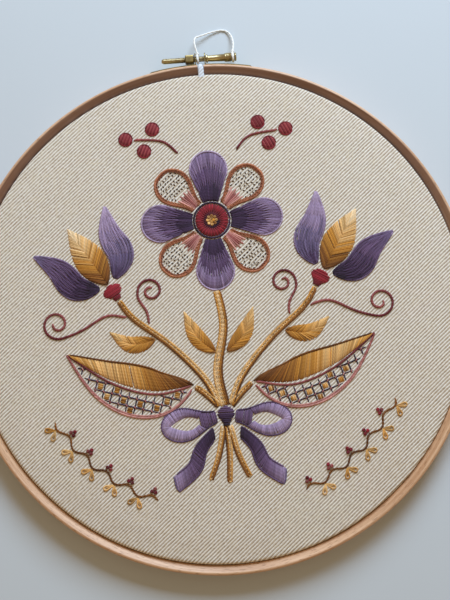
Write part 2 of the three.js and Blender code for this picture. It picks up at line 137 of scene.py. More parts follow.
def spin(points, radius, dyes, sides=6, flat=1.0, reference=Z_WAY, ply=0.0, twist=1.0):
    """Closed strands along rows of points, as corners, faces, colours and places along and round them."""
    points = np.asarray(points, float)
    count, steps = points.shape[:2]
    tangent = np.gradient(points, axis=1)
    across = unit(np.cross(tangent, reference))
    above = unit(np.cross(across, tangent))
    pace = np.linalg.norm(np.diff(points, axis=1), axis=2)
    along = np.concatenate([np.zeros((count, 1)), np.cumsum(pace, axis=1)], axis=1)
    turn = np.arange(sides) / sides
    angle = tau * np.arange(sides) / sides
    lobes = 1 + ply * np.cos(2 * angle - tau * along[..., None] / twist)
    reach = (np.broadcast_to(radius, (count, steps))[..., None] * lobes)[..., None]
    ring = np.cos(angle)[:, None] * across[:, :, None] + flat * np.sin(angle)[:, None] * above[:, :, None]
    index = np.arange(count * steps * sides).reshape(count, steps, sides)
    near, far = index[:, :-1], index[:, 1:]
    quads = np.stack([near, far, np.roll(far, -1, axis=2), np.roll(near, -1, axis=2)], axis=-1)
    turns = np.stack([turn, turn, turn + 1 / sides, turn + 1 / sides], axis=-1)
    lengths = np.stack([along[:, :-1], along[:, 1:], along[:, 1:], along[:, :-1]], axis=-1)
    places = np.stack(np.broadcast_arrays(turns[None, None], lengths[:, :, None]), axis=-1)
    dyes = np.broadcast_to(np.asarray(dyes, float), (count, 3))
    return {
        "corners": (points[:, :, None] + reach * ring).reshape(-1, 3),
        "quads": quads.reshape(-1, 4),
        "places": places.reshape(-1, 2),
        "caps": np.concatenate([index[:, 0], index[:, -1, ::-1]]),
        "dyes": np.repeat(dyes, steps * sides, axis=0),
    }


def sew(name, batches, finish):
    """One mesh piece from batches of strands given in the hoop's own millimetres."""
    first = np.cumsum([0] + [len(batch["corners"]) for batch in batches])
    corners = in_hoop(np.concatenate([batch["corners"] for batch in batches]))
    dyes = np.concatenate([batch["dyes"] for batch in batches])
    faces = [batch[kind] + start for batch, start in zip(batches, first) for kind in ("quads", "caps")]
    places = [
        part
        for batch in batches
        for part in (batch["places"], np.zeros((batch["caps"].size, 2)))
    ]
    sizes = np.concatenate([np.full(len(part), part.shape[1]) for part in faces])
    loops = np.concatenate([part.ravel() for part in faces])
    mesh = bpy.data.meshes.new(name)
    mesh.vertices.add(len(corners))
    mesh.vertices.foreach_set("co", corners.ravel())
    mesh.loops.add(len(loops))
    mesh.loops.foreach_set("vertex_index", loops.astype(np.int32))
    mesh.polygons.add(len(sizes))
    mesh.polygons.foreach_set("loop_start", (np.cumsum(sizes) - sizes).astype(np.int32))
    mesh.update(calc_edges=True)
    mesh.validate()
    mesh.shade_smooth()
    mesh.uv_layers.new(name="strand").uv.foreach_set("vector", np.concatenate(places).ravel())
    paint = mesh.color_attributes.new("dye", "FLOAT_COLOR", "POINT")
    paint.data.foreach_set("color", np.column_stack([dyes, np.ones(len(dyes))]).ravel())
    mesh.materials.append(finish)
    return put(name, mesh)


def fit(piece, body, slot, *nodes):
    """Fixes a piece to its body, in the place of its solid where it has one. Its slot is not used."""
    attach(piece, body)
    if nodes:
        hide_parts(*nodes)


def colour_of(code):
    """Scene-linear colour of a six-digit colour code."""
    parts = [int(code[k:k + 2], 16) / 255 for k in (0, 2, 4)]
    return [part / 12.92 if part <= 0.04045 else ((part + 0.055) / 1.055) ** 2.4 for part in parts]


class Finish:
    """A material as it is made, with short ways to add nodes to it."""

    def __init__(self, name):
        self.material = bpy.data.materials.new(name)
        self.material.use_nodes = True
        self.tree = self.material.node_tree

    def fill(self, node, inputs):
        """Links a node's inputs to other nodes, or sets them to plain values."""
        for socket, value in inputs.items():
            if isinstance(value, bpy.types.NodeSocket):
                self.tree.links.new(value, node.inputs[socket])
            else:
                node.inputs[socket].default_value = value

    def add(self, kind, inputs, output=0, **settings):
        """Adds a node and gives back one of its outputs."""
        node = self.tree.nodes.new("ShaderNode" + kind)
        for name, value in settings.items():
            setattr(node, name, value)
        self.fill(node, inputs)
        return node.outputs[output]

    def calc(self, operation, *values):
        """The result of one sum on numbers or outputs."""
        return self.add("Math", dict(enumerate(values)), operation=operation)

    def vector(self, operation, *values):
        """The result of one sum on places or directions."""
        return self.add("VectorMath", dict(enumerate(values)), operation=operation)

    def scale(self, vector, size):
        """A place, direction or colour made so many times as large."""
        return self.add("VectorMath", {0: vector, "Scale": size}, operation="SCALE")

    def spot(self):
        """Where on the object a point is."""
        return self.add("TexCoord", {}, "Object")

    def split(self, vector):
        """The three parts of a place."""
        parts = self.tree.nodes.new("ShaderNodeSeparateXYZ")
        self.fill(parts, {0: vector})
        return parts.outputs

    def noise(self, place, scale, detail, output="Fac", **more):
        """Cloudy unevenness of the given scale."""
        return self.add("TexNoise", {"Vector": place, "Scale": scale, "Detail": detail, **more}, output)

    def spread(self, value, low, high, most=1.0, kind="LINEAR"):
        """A share that rises from nothing to its most as a value goes from low to high."""
        span = {"Value": value, "From Min": low, "From Max": high, "To Max": most}
        return self.add("MapRange", span, interpolation_type=kind)

    def mix(self, share, first, second, blend="MIX"):
        """Two colours, codes or outputs, mixed by a share of the second."""
        pair = [(*colour_of(colour), 1) if isinstance(colour, str) else colour for colour in (first, second)]
        inputs = {0: share, 6: pair[0], 7: pair[1]}
        return self.add("Mix", inputs, 2, data_type="RGBA", blend_type=blend)

    def relief(self, height, strength, distance):
        """Fine relief of a depth in millimetres."""
        inputs = {"Height": height, "Strength": strength, "Distance": distance * MM}
        return self.add("Bump", inputs, "Normal")

    def done(self, inputs):
        """Fills the shader's own inputs and gives back the finished material."""
        self.fill(self.tree.nodes["Principled BSDF"], inputs)
        return self.material


def yarn_finish(name, roughness, sheen, twist, fuzz):
    """Spun yarn in the colour of its dye, with its plies twisted and painted shade between them, and stray
    fibres lighter and darker.
    """
    finish = Finish(name)
    calc = finish.calc
    dye = finish.add("Attribute", {}, "Color", attribute_name="dye")
    turn, along, _ = finish.split(finish.add("UVMap", {}, uv_map="strand"))
    spiral = calc("SUBTRACT", calc("MULTIPLY", turn, 2.0), calc("DIVIDE", along, twist))
    plies = calc("SINE", calc("MULTIPLY", spiral, tau))
    fibres = finish.noise(finish.spot(), FIBRE_SCALE, 2.0)
    shade = calc("MULTIPLY_ADD", fibres, fuzz, 1 - fuzz / 2)
    # Painted shade: the dye is made a little darker in the grooves between the twisted plies and lighter on
    # their crests.
    shade = calc("MULTIPLY_ADD", plies, PLY_PAINTED_SHADE, shade)
    height = calc("MULTIPLY_ADD", plies, PLY_HEIGHT, fibres)
    return finish.done({
        "Base Color": finish.scale(dye, shade),
        "Normal": finish.relief(height, 0.5, YARN_RELIEF),
        "Roughness": roughness,
        "Sheen Weight": sheen,
        "Sheen Roughness": 0.45,
    })


def coil(middle, along, out, radius, turns, spread, steps, strand):
    """Thread wound about a middle point, advancing one way and starting from another."""
    t = np.linspace(0, 1, steps)[:, None]
    angle = tau * turns * t
    line = middle + spread * (t - 0.5) * along + radius * (np.cos(angle) * out + np.sin(angle) * Z_WAY)
    return spin([line], strand / 2, white, TIE_SIDES, reference=along, ply=TIE_PLY, twist=THREAD_TWIST)


cotton = yarn_finish("white_cotton", 0.75, 0.25, THREAD_TWIST, 0.2)
white = colour_of(THREAD_WHITE)
thread_line = smooth_line(THREAD_ROUTE, THREAD_STEPS)
strand = spin([thread_line], THREAD_WIDTH / 2, white, THREAD_SIDES, ply=THREAD_PLY, twist=THREAD_TWIST)
thread = sew("white_thread", [strand], cotton)
fit(thread, "hoop", "thread", "hanging_thread")

for side, tie_x, core in TIES:
    tie_radius = core + TIE_CLEAR + THREAD_WIDTH / 2
    tie_middle = np.array([tie_x, SCREW_Y, SCREW_HEIGHT])
    knot_middle = np.array([tie_x, SCREW_Y + tie_radius + KNOT_OUT, SCREW_HEIGHT])
    tie = sew("white_tie_" + side, [
        coil(tie_middle, X_WAY, Y_WAY, tie_radius, TIE_TURNS, TIE_SPREAD, TIE_STEPS, TIE_STRAND),
        coil(knot_middle, Y_WAY, X_WAY, KNOT_RADIUS, KNOT_TURNS, KNOT_SPREAD, KNOT_STEPS, KNOT_STRAND),
    ], cotton)
    fit(tie, "hoop", "thread", "thread_tie_" + side)

thread_path = in_hoop(thread_line)
length_of(thread_path)

# The two wooden rings: strips of pale beech steamed and bent round, with the grain along the strip.
# The inner one is a closed ring. The outer one is split at the top, so that the screw can draw it in.
# Its sloping face is painted darker towards the split as painted shade, with a darker line of painted
# contact shadow along its inner edge where the cloth meets it; its crest and outer side keep their own
# colour.
RING_STEPS, CORNER_STEPS = 300, 4
OUTER_INSIDE, OUTER_OUTSIDE, RING_DEPTH = 128.6, 133.8, 12.0
CREST_RADIUS, FACE_SLOPE = 132.3, radians(35)
INNER_INSIDE, INNER_OUTSIDE, INNER_DEPTH = 122.0, 127.0, 11.0
RING_SPLIT = 3.2
EDGE_BREAK, CREST_ROUND, CREST_BREAK, INNER_ROUND = 0.6, 1.2, 0.9, 1.5
SHARP_EDGE = radians(40)
BEECH_PALE, BEECH_MID, BEECH_FLECK = "e6bd96", "be8f67", "825633"
STREAK_STRETCH, FLECK_STRETCH, GRAIN_RELIEF = (16, 520, 1), (260, 2300, 1), 0.2
FLECK_FROM, FLECK_FULL, FLECK_MOST = 0.58, 0.72, 0.75
# Painted shade on the outer ring's sloping face: its tint, how far round the ring it runs, where on the face
# it lies, and where a painted contact shadow darkens the face's inner edge.
BEECH_PAINTED_SHADE, PAINTED_SHADE_FROM, PAINTED_SHADE_TO = "a1969c", -50.0, 70.0
FACE_SHADE_START, FACE_SHADE_FULL, FACE_LOW = 133.3, 131.8, 9.2
CREASE_SHADOW_FROM, CREASE_SHADOW_TO = 130.0, 128.8


def rounded(corners, rounds):
    """An outline of straight runs with each corner rounded off."""
    corners = np.array(corners, float)
    outline = []
    for k, (corner, size) in enumerate(zip(corners, rounds)):
        before = unit(corners[k - 1] - corner)
        after = unit(corners[(k + 1) % len(corners)] - corner)
        half = np.arccos(np.clip(before @ after, -1, 1)) / 2
        middle = corner + unit(before + after) * size / sin(half)
        first = corner + before * size / tan(half) - middle
        last = corner + after * size / tan(half) - middle
        sweep = pi - 2 * half
        for t in np.linspace(0, 1, CORNER_STEPS + 1):
            outline.append(middle + (first * sin((1 - t) * sweep) + last * sin(t * sweep)) / sin(sweep))
    return np.array(outline)


def grid_piece(name, corners, finish, ring=True, loop=False, caps=False, places=None, sharp=SHARP_EDGE):
    """One mesh piece from rows of corners. A ring closes each row, and a loop joins the last to the first."""
    rows, columns = corners.shape[:2]
    index = np.arange(rows * columns).reshape(rows, columns)
    here, ahead = (index, np.roll(index, -1, axis=0)) if loop else (index[:-1], index[1:])
    if ring:
        here_next, ahead_next = np.roll(here, -1, axis=1), np.roll(ahead, -1, axis=1)
    else:
        here, here_next = here[:, :-1], here[:, 1:]
        ahead, ahead_next = ahead[:, :-1], ahead[:, 1:]
    faces = np.stack([here, ahead, ahead_next, here_next], axis=-1).reshape(-1, 4).tolist()
    if caps:
        faces += [index[0].tolist(), index[-1, ::-1].tolist()]
    mesh = bpy.data.meshes.new(name)
    mesh.from_pydata(corners.reshape(-1, 3).tolist(), [], faces)
    if places is not None:
        along, around = places
        run = np.stack(np.broadcast_arrays(along[:, None], around[None]), axis=-1)
        quads = np.stack([run[:-1, :-1], run[1:, :-1], run[1:, 1:], run[:-1, 1:]], axis=-2).reshape(-1, 2)
        spare = len(mesh.loops) - len(quads)
        grain = np.vstack([quads, np.zeros((spare, 2))])
        mesh.uv_layers.new(name="grain").uv.foreach_set("vector", grain.ravel())
    mesh.validate()
    mesh.shade_smooth()
    mesh.set_sharp_from_angle(angle=sharp)
    mesh.materials.append(finish)
    return put(name, mesh)


def bend_strip(name, section, split, finish):
    """A strip of the given section, radius against height, bent round the hoop from the top back to it."""
    gap = asin(split / 2 / section[:, 0].mean())
    angles = pi / 2 + np.linspace(gap, tau - gap, RING_STEPS + 1)
    turn = np.stack([np.cos(angles), np.sin(angles)], axis=-1)
    flat = turn[:, None] * section[None, :, :1]
    height = np.broadcast_to(section[None, :, 1:], flat.shape[:2] + (1,))
    corners = in_hoop(np.concatenate([flat, height], axis=-1))
    around = run_along(np.vstack([section, section[:1]])) * MM
    along = angles * section[:, 0].mean() * MM
    if split:
        return grid_piece(name, corners, finish, caps=True, places=(along, around))
    return grid_piece(name, corners[:-1], finish, loop=True, places=(along, around))


def beech_finish():
    """Pale beech with long streaks, short dark flecks and a thin satin varnish, and painted shade on its
    sloping face.
    """
    finish = Finish("beech")
    calc = finish.calc
    grain = finish.add("UVMap", {}, uv_map="grain")
    streaks = finish.noise(finish.vector("MULTIPLY", grain, STREAK_STRETCH), 1.0, 4.0, Distortion=0.4)
    flecks = finish.noise(finish.vector("MULTIPLY", grain, FLECK_STRETCH), 1.0, 1.0)
    fleck_share = finish.spread(flecks, FLECK_FROM, FLECK_FULL, FLECK_MOST)
    spot = finish.spot()
    clouds = finish.noise(spot, 24.0, 2.0)
    share = calc("MULTIPLY_ADD", streaks, 2.6, -0.8)
    share = calc("MULTIPLY_ADD", clouds, 0.5, calc("SUBTRACT", share, 0.25))
    wood = finish.mix(finish.add("Clamp", {"Value": share}), BEECH_PALE, BEECH_MID)
    _, towards_split, height = finish.split(spot)
    flat = finish.vector("MULTIPLY", spot, (1, 1, 0))
    flat = finish.vector("ADD", flat, (0, -hoop_y, 0))
    reach = finish.add("VectorMath", {0: flat}, "Value", operation="LENGTH")

    def ramp(value, start, end):
        """Rises smoothly from nothing to one as a length goes from its start to its end."""
        return finish.spread(value, start * MM, end * MM, kind="SMOOTHSTEP")

    # Painted shade: the sloping face is darkened towards the split, and darker again along its inner edge as
    # painted contact shadow.
    above = ramp(height, FACE_LOW - 1, FACE_LOW)
    on_face = calc("MULTIPLY", ramp(reach, FACE_SHADE_START, FACE_SHADE_FULL), above)
    painted_shade = calc("MULTIPLY", on_face, ramp(towards_split, PAINTED_SHADE_FROM, PAINTED_SHADE_TO))
    painted_crease_shadow = calc("MULTIPLY", painted_shade, ramp(reach, CREASE_SHADOW_FROM, CREASE_SHADOW_TO))
    for share in (painted_shade, painted_crease_shadow):
        wood = finish.mix(share, wood, BEECH_PAINTED_SHADE, "MULTIPLY")
    grain_height = calc("SUBTRACT", streaks, fleck_share)
    return finish.done({
        "Base Color": finish.mix(fleck_share, wood, BEECH_FLECK),
        "Normal": finish.relief(grain_height, 0.25, GRAIN_RELIEF),
        "Roughness": calc("MULTIPLY_ADD", streaks, 0.25, 0.38),
        "Coat Weight": 0.2,
        "Coat Roughness": 0.3,
    })


beech = beech_finish()
face_foot = RING_DEPTH - (CREST_RADIUS - OUTER_INSIDE) * tan(FACE_SLOPE)
outer_section = rounded(
    [(OUTER_INSIDE, 0), (OUTER_OUTSIDE, 0), (OUTER_OUTSIDE, RING_DEPTH),
     (CREST_RADIUS, RING_DEPTH), (OUTER_INSIDE, face_foot)],
    [EDGE_BREAK, EDGE_BREAK, CREST_ROUND, CREST_BREAK, EDGE_BREAK],
)
inner_section = rounded(
    [(INNER_INSIDE, 0), (INNER_OUTSIDE, 0), (INNER_OUTSIDE, INNER_DEPTH), (INNER_INSIDE, INNER_DEPTH)],
    [EDGE_BREAK, EDGE_BREAK, INNER_ROUND, EDGE_BREAK],
)
for node, section, split in (("outer_ring", outer_section, RING_SPLIT), ("inner_ring", inner_section, 0)):
    ring = bend_strip("beech_" + node, section, split, beech)
    fit(ring, "hoop", "wood", node)

# The ground cloth: one round of natural linen twill, laid over the inner ring and stretched tight as the
# outer ring is pushed down over it, so that it dips a little at the rim. Its edge is trimmed off between
# the two rings, and a small fold of it stands in the outer ring's split, painted a plain bluish white as
# painted light.
CLOTH_TOP, CLOTH_THICKNESS, CLOTH_EDGE_HEIGHT = 12.3, 1.0, 1.0
BEND_RADIUS, BEND_HEIGHT, BEND_FULL = 125.5, 9.5, 0.6
RIM_DIP, DIP_FROM = 0.45, 116.0
CLOTH_ROUND_STEPS, CLOTH_RINGS = 240, 44
BEND_STEPS, SKIRT_STEPS = 7, 5
PUCKER, PUCKER_EDGE, PUCKER_FADE = 0.05, 118, 20
WELD_WITHIN = 1e-7
TWILL_TURN, TWILL_PITCH, YARN_WANDER = radians(-5), 0.505, 0.36
FLOAT_SHARP, RIDGE_SHARP, TWILL_RELIEF = 0.6, 0.38, 0.26
SLUB_LONG, SLUB_SCALE = 0.05, 0.7
LINEN_PALE, LINEN_GROOVE_SHADE, LINEN_SLUB = "fffbf1", "aa9170", "e6d8bc"
FOLD_PAINTED_LIGHT = "e4eaf2"
FOLD_SPAN, FOLD_STEEP, CLOTH_SHARP = radians(0.69), 8, radians(60)
FOLD_SHARES = [-1, -0.97, -0.9, -0.75, -0.4, 0.4, 0.75, 0.9, 0.97, 1]
FOLD_RADII = [125.5, 126.9, 128.3, 129.7, 131.3, 132.9, 134.0] + [134.3] * 5
FOLD_LEVELS = [11.85, 11.95, 12.0, 12.1, 12.3, 12.3, 11.6, 9.8, 7.8, 5.8, 3.6, 1.4]
FOLD_UNDER_RADIUS, FOLD_UNDER_HEIGHT = 133.3, 10.8


def cloth_section():
    """Radius and height along the cloth, from under its middle out to the edge and back over the top."""
    bend = np.linspace(pi / 2, 0, BEND_STEPS)
    flat = np.linspace(0, BEND_RADIUS, CLOTH_RINGS, endpoint=False)
    near_rim = np.clip((flat - DIP_FROM) / (BEND_RADIUS - DIP_FROM), 0, 1)
    out, up = np.cos(bend) ** BEND_FULL, np.sin(bend) ** BEND_FULL
    skirt = np.linspace(BEND_HEIGHT, CLOTH_EDGE_HEIGHT, SKIRT_STEPS + 1)[1:]
    halves = []
    for height, dip in ((CLOTH_TOP - CLOTH_THICKNESS, 0.0), (CLOTH_TOP, RIM_DIP)):
        reach = height - BEND_HEIGHT
        face = height - dip * near_rim**2 * (3 - 2 * near_rim)
        side = np.full(SKIRT_STEPS, BEND_RADIUS + reach)
        radius = np.concatenate([flat, BEND_RADIUS + reach * out, side])
        level = np.concatenate([face, BEND_HEIGHT + (reach - dip) * up, skirt])
        halves.append(np.column_stack([radius, level]))
    return np.vstack([halves[0], halves[1][::-1]])


def rework(piece, change):
    """Puts a piece's mesh through one change."""
    work = bmesh.new()
    work.from_mesh(piece.data)
    change(work)
    work.to_mesh(piece.data)
    work.free()


def weld(piece):
    """Joins corners that lie on one another, as at the middle of a round."""
    rework(piece, lambda work: bmesh.ops.remove_doubles(work, verts=work.verts, dist=WELD_WITHIN))


def pucker(x, y):
    """Small heights by which the stitching draws the tight cloth out of flat."""
    across_wave = np.sin(x / 17 + 1.3) * np.cos(y / 21 - 0.4)
    slow = across_wave + 0.6 * np.sin((x + y) / 11 + 0.7)
    return PUCKER * slow * np.clip((PUCKER_EDGE - np.hypot(x, y)) / PUCKER_FADE, 0, 1)


def twill_finish():
    """Two-and-two twill: threads in two directions, each over two and under two, stepping one at a time."""
    finish = Finish("linen_twill")
    calc = finish.calc
    spot = finish.spot()
    turned = finish.add("Mapping", {"Vector": spot, "Rotation": (0, 0, -TWILL_TURN)})
    wander = finish.noise(spot, 160.0, 2.0, "Color")
    wander = finish.scale(finish.vector("SUBTRACT", wander, (0.5, 0.5, 0.5)), YARN_WANDER * MM)
    count = finish.scale(finish.vector("ADD", turned, wander), 1 / (TWILL_PITCH * MM))
    across, up, _ = finish.split(count)

    def float_height(along, thread, first):
        """Height of a thread where it floats on top, nothing where it dives under."""
        lane = calc("FLOOR", thread)
        step = calc("ADD", calc("SUBTRACT", along, lane), first)
        step = calc("MINIMUM", calc("FLOORED_MODULO", step, 4.0), 2.0)
        rise = calc("SINE", calc("MULTIPLY", step, pi / 2))
        body = calc("SINE", calc("MULTIPLY", calc("FRACT", thread), pi))
        return calc("MULTIPLY", calc("POWER", rise, FLOAT_SHARP), body)

    def slub_tone(stretch):
        """Thick places along the threads of one direction."""
        return finish.noise(finish.vector("MULTIPLY", count, stretch), SLUB_SCALE, 1.0)

    weave = calc("MAXIMUM", float_height(up, across, 0.0), float_height(across, up, 1.0))
    wale = calc("MULTIPLY", calc("SUBTRACT", across, up), tau / 4)
    ridge = calc("MULTIPLY_ADD", calc("COSINE", wale), 0.5, 0.5)
    ridge = calc("POWER", ridge, RIDGE_SHARP)
    slubs = calc("MAXIMUM", slub_tone((SLUB_LONG, 1.0, 0)), slub_tone((1.0, SLUB_LONG, 0)))
    # Painted shade: the linen is mixed towards a dark tone where the threads dive under and along the twill's
    # diagonal grooves, and is kept pale on the floating threads.
    lift = calc("MULTIPLY_ADD", weave, 0.62, calc("MULTIPLY", ridge, 0.5))
    uneven = finish.noise(count, 0.4, 2.0)
    lift = calc("MULTIPLY_ADD", calc("SUBTRACT", uneven, 0.5), 0.9, lift)
    linen = finish.mix(finish.add("Clamp", {"Value": lift}), LINEN_GROOVE_SHADE, LINEN_PALE)
    linen = finish.mix(finish.spread(slubs, 0.5, 0.75, 0.5), linen, LINEN_SLUB)
    # Painted light: where the fold stands in the outer ring's split, the cloth is painted a plain bluish
    # white in place of the linen's colour.
    aside, towards_split, _ = finish.split(spot)
    in_split = calc("LESS_THAN", calc("ABSOLUTE", aside), RING_SPLIT / 2 * MM)
    past_bend = calc("GREATER_THAN", towards_split, hoop_y + FOLD_RADII[1] * MM)
    painted_light_fold = calc("MULTIPLY", in_split, past_bend)
    height = calc("MULTIPLY_ADD", weave, 0.5, ridge)
    return finish.done({
        "Base Color": finish.mix(painted_light_fold, linen, FOLD_PAINTED_LIGHT),
        "Normal": finish.relief(height, 1.0, TWILL_RELIEF),
        "Roughness": 0.85,
        "Sheen Weight": 0.12,
    })


section = cloth_section()
fold = section.copy()
fold_end = CLOTH_RINGS + len(FOLD_RADII)
fold[-fold_end:-CLOTH_RINGS] = np.column_stack([FOLD_RADII, FOLD_LEVELS])[::-1]
fold[CLOTH_RINGS:fold_end, 0] = np.minimum(FOLD_RADII, FOLD_UNDER_RADIUS)
fold[CLOTH_RINGS:fold_end, 1] = np.minimum(np.array(FOLD_LEVELS) - CLOTH_THICKNESS, FOLD_UNDER_HEIGHT)
round_angles = tau * np.arange(CLOTH_ROUND_STEPS) / CLOTH_ROUND_STEPS
angles = np.sort(np.append(round_angles, pi / 2 + FOLD_SPAN * np.array(FOLD_SHARES)))
full = np.clip(1 - np.abs((angles - pi / 2) / FOLD_SPAN) ** FOLD_STEEP, 0, 1)[:, None, None]
profile = section + full * (fold - section)
cloth_x = np.cos(angles)[:, None] * profile[:, :, 0]
cloth_y = np.sin(angles)[:, None] * profile[:, :, 0]
cloth_z = profile[:, :, 1] + pucker(cloth_x, cloth_y)
corners = in_hoop(np.stack([cloth_x, cloth_y, cloth_z], axis=-1))
cloth = grid_piece("linen_ground", corners, twill_finish(), ring=False, loop=True, sharp=CLOTH_SHARP)
weld(cloth)
fit(cloth, "hoop", "linen", "cloth")

# The brass lugs: two strips of thin sheet brass that follow the outer ring and turn out at the split into
# ears drilled for the screw. Each is nailed to the wood by one round-headed tack, and a square nut sits
# against the left ear. The lugs and the nut are duller than the tacks and the screw.
LUG_INSIDE, LUG_THICKNESS, LUG_LENGTH = 134.1, 0.6, 24.0
LUG_LOW, LUG_HIGH, LUG_EDGE_SHARE = 2.0, 10.0, 0.3
EAR_MIDDLE_X, EAR_TIP, EAR_BEND = 2.6, 141.4, 0.9
EAR_ROUND, LUG_END_ROUND = 2.0, 1.5
EAR_STEPS, HEEL_STEPS, STRIP_STEPS, DOME_STEPS, TURNED_SIDES = 14, 8, 40, 7, 32
EAR_HOLE_RADIUS, EAR_HOLE_REACH = 1.8, 4.0
TACK_X, TACK_RADIUS, TACK_HEIGHT, TACK_RIM = 21.0, 1.6, 1.0, 0.25
NUT_START, NUT_END, NUT_SIZE, NUT_CHAMFER = -8.0, -3.3, 4.4, 0.35
NUT_HOLE, NUT_SIDES, NUT_SQUARE = 1.6, 48, 9
LUG_SHARP, NUT_SHARP = radians(35), radians(30)
BRASS_BRIGHT, BRASS_DULL = "cdbd92", "7c6a46"
TARNISH_SCALE, SCRATCH_SCALE, SCRATCH_STRETCH = 160.0, 700.0, (1, 12, 12)
AGED_BRIGHT, AGED_DULL = "a4905e", "66563a"


def brass_finish(name, clean, tarnished):
    """Thin rolled brass, rubbed bright and a little tarnished, with fine scratches."""
    finish = Finish(name)
    spot = finish.spot()
    tarnish = finish.spread(finish.noise(spot, TARNISH_SCALE, 3.0), 0.42, 0.72)
    scratches = finish.noise(finish.vector("MULTIPLY", spot, SCRATCH_STRETCH), SCRATCH_SCALE, 2.0)
    return finish.done({
        "Base Color": finish.mix(tarnish, clean, tarnished),
        "Normal": finish.relief(scratches, 0.1, 0.02),
        "Roughness": finish.calc("MULTIPLY_ADD", tarnish, 0.15, 0.3),
        "Metallic": 1.0,
    })


def lug_line(hand):
    """The middle line of one lug's sheet seen from above, from the ear's tip to the strip's end."""
    middle = LUG_INSIDE + LUG_THICKNESS / 2
    foot = asin((EAR_MIDDLE_X + EAR_BEND) / middle)
    sweep = np.linspace(foot, foot + LUG_LENGTH / middle, STRIP_STEPS)
    strip = np.column_stack([middle * np.sin(sweep), middle * np.cos(sweep)])
    turn = np.linspace(0, pi / 2, HEEL_STEPS)[1:-1]
    heel = np.column_stack([
        EAR_MIDDLE_X + EAR_BEND * (1 - np.cos(turn)),
        strip[0, 1] + EAR_BEND * (1 - np.sin(turn)),
    ])
    ear_y = np.linspace(EAR_TIP, strip[0, 1] + EAR_BEND, EAR_STEPS)
    ear = np.column_stack([np.full(EAR_STEPS, EAR_MIDDLE_X), ear_y])
    return np.vstack([ear, heel, strip]) * (hand, 1)


def left_of(way):
    """Directions square to others, on their left."""
    return np.stack([-way[..., 1], way[..., 0]], axis=-1)


def bend_sheet(name, line, finish):
    """A lug's strip of sheet standing on edge along its line, with rounded ends and softened edges."""
    normal = left_of(unit(np.gradient(line, axis=0)))
    run = run_along(line)
    cut = np.zeros(len(line))
    for size, reach in ((EAR_ROUND, run), (LUG_END_ROUND, run[-1] - run)):
        short = np.clip(size - reach, 0, size)
        cut = np.maximum(cut, size - np.sqrt(size**2 - short**2))
    soft = LUG_THICKNESS * LUG_EDGE_SHARE
    half = LUG_THICKNESS / 2
    rows = []
    for side, inset in ((-half + soft, 0), (half - soft, 0), (half, soft)):
        rows.append((side, LUG_HIGH - cut - inset))
    for side, inset in ((half, soft), (half - soft, 0), (-half + soft, 0), (-half, soft)):
        rows.append((side, LUG_LOW + cut + inset))
    rows.append((-half, LUG_HIGH - cut - soft))
    corners = np.stack([np.column_stack([line + normal * side, level]) for side, level in rows], axis=1)
    return grid_piece(name, in_hoop(corners), finish, caps=True, sharp=LUG_SHARP)


def face_out(piece):
    """Turns every face of a closed piece outwards."""
    rework(piece, lambda work: bmesh.ops.recalc_face_normals(work, faces=work.faces))


def turned(name, section, place, finish):
    """A round piece turned about its own axis, from radius and height, put in place by a matrix."""
    section = np.array(section, float)
    angles = tau * np.arange(TURNED_SIDES) / TURNED_SIDES
    corners = np.stack([
        np.cos(angles)[:, None] * section[None, :, 0],
        np.sin(angles)[:, None] * section[None, :, 0],
        np.broadcast_to(section[None, :, 1], (TURNED_SIDES, len(section))),
    ], axis=-1)
    piece = grid_piece(name, corners * MM, finish, ring=False, loop=True)
    weld(piece)
    piece.data.transform(place)
    face_out(piece)
    return piece


def cut_away(piece, cutter):
    """Takes a cutter's solid out of a piece and does away with the cutter."""
    cut = piece.modifiers.new("cut", "BOOLEAN")
    cut.object = cutter
    cut.operation = "DIFFERENCE"
    bpy.context.view_layer.update()
    shaped = bpy.data.meshes.new_from_object(piece.evaluated_get(bpy.context.evaluated_depsgraph_get()))
    shaped.set_sharp_from_angle(angle=SHARP_EDGE)
    piece.modifiers.clear()
    piece.data = shaped
    bpy.data.objects.remove(cutter)


def about_screw(x, radius, turn):
    """Rows of points round the screw's axis, at places along it."""
    x, radius = np.broadcast_arrays(x, radius)
    rows = [x, SCREW_Y + radius * np.cos(turn), SCREW_HEIGHT + radius * np.sin(turn)]
    return in_hoop(np.stack(rows, axis=-1))


brass = brass_finish("brass", BRASS_BRIGHT, BRASS_DULL)
aged_brass = brass_finish("aged_brass", AGED_BRIGHT, AGED_DULL)
screw_middle = Vector((0, hoop_y + SCREW_Y * MM, SCREW_HEIGHT * MM))
drill_place = Matrix.Translation(screw_middle) @ Matrix.Rotation(pi / 2, 4, "Y")
drill_section = [
    (0, -EAR_HOLE_REACH), (EAR_HOLE_RADIUS, -EAR_HOLE_REACH),
    (EAR_HOLE_RADIUS, EAR_HOLE_REACH), (0, EAR_HOLE_REACH),
]
tack_rise = TACK_HEIGHT - TACK_RIM
dome_turn = np.linspace(0, pi / 2, DOME_STEPS)[:-1]
dome = [(TACK_RADIUS * cos(a), TACK_RIM + tack_rise * sin(a)) for a in dome_turn]
tack_section = [(0, 0), (TACK_RADIUS, 0), *dome, (0, TACK_HEIGHT)]
tack_angle = asin(TACK_X / LUG_INSIDE)
tack_foot = Vector((0, hoop_y, (LUG_LOW + LUG_HIGH) / 2 * MM))
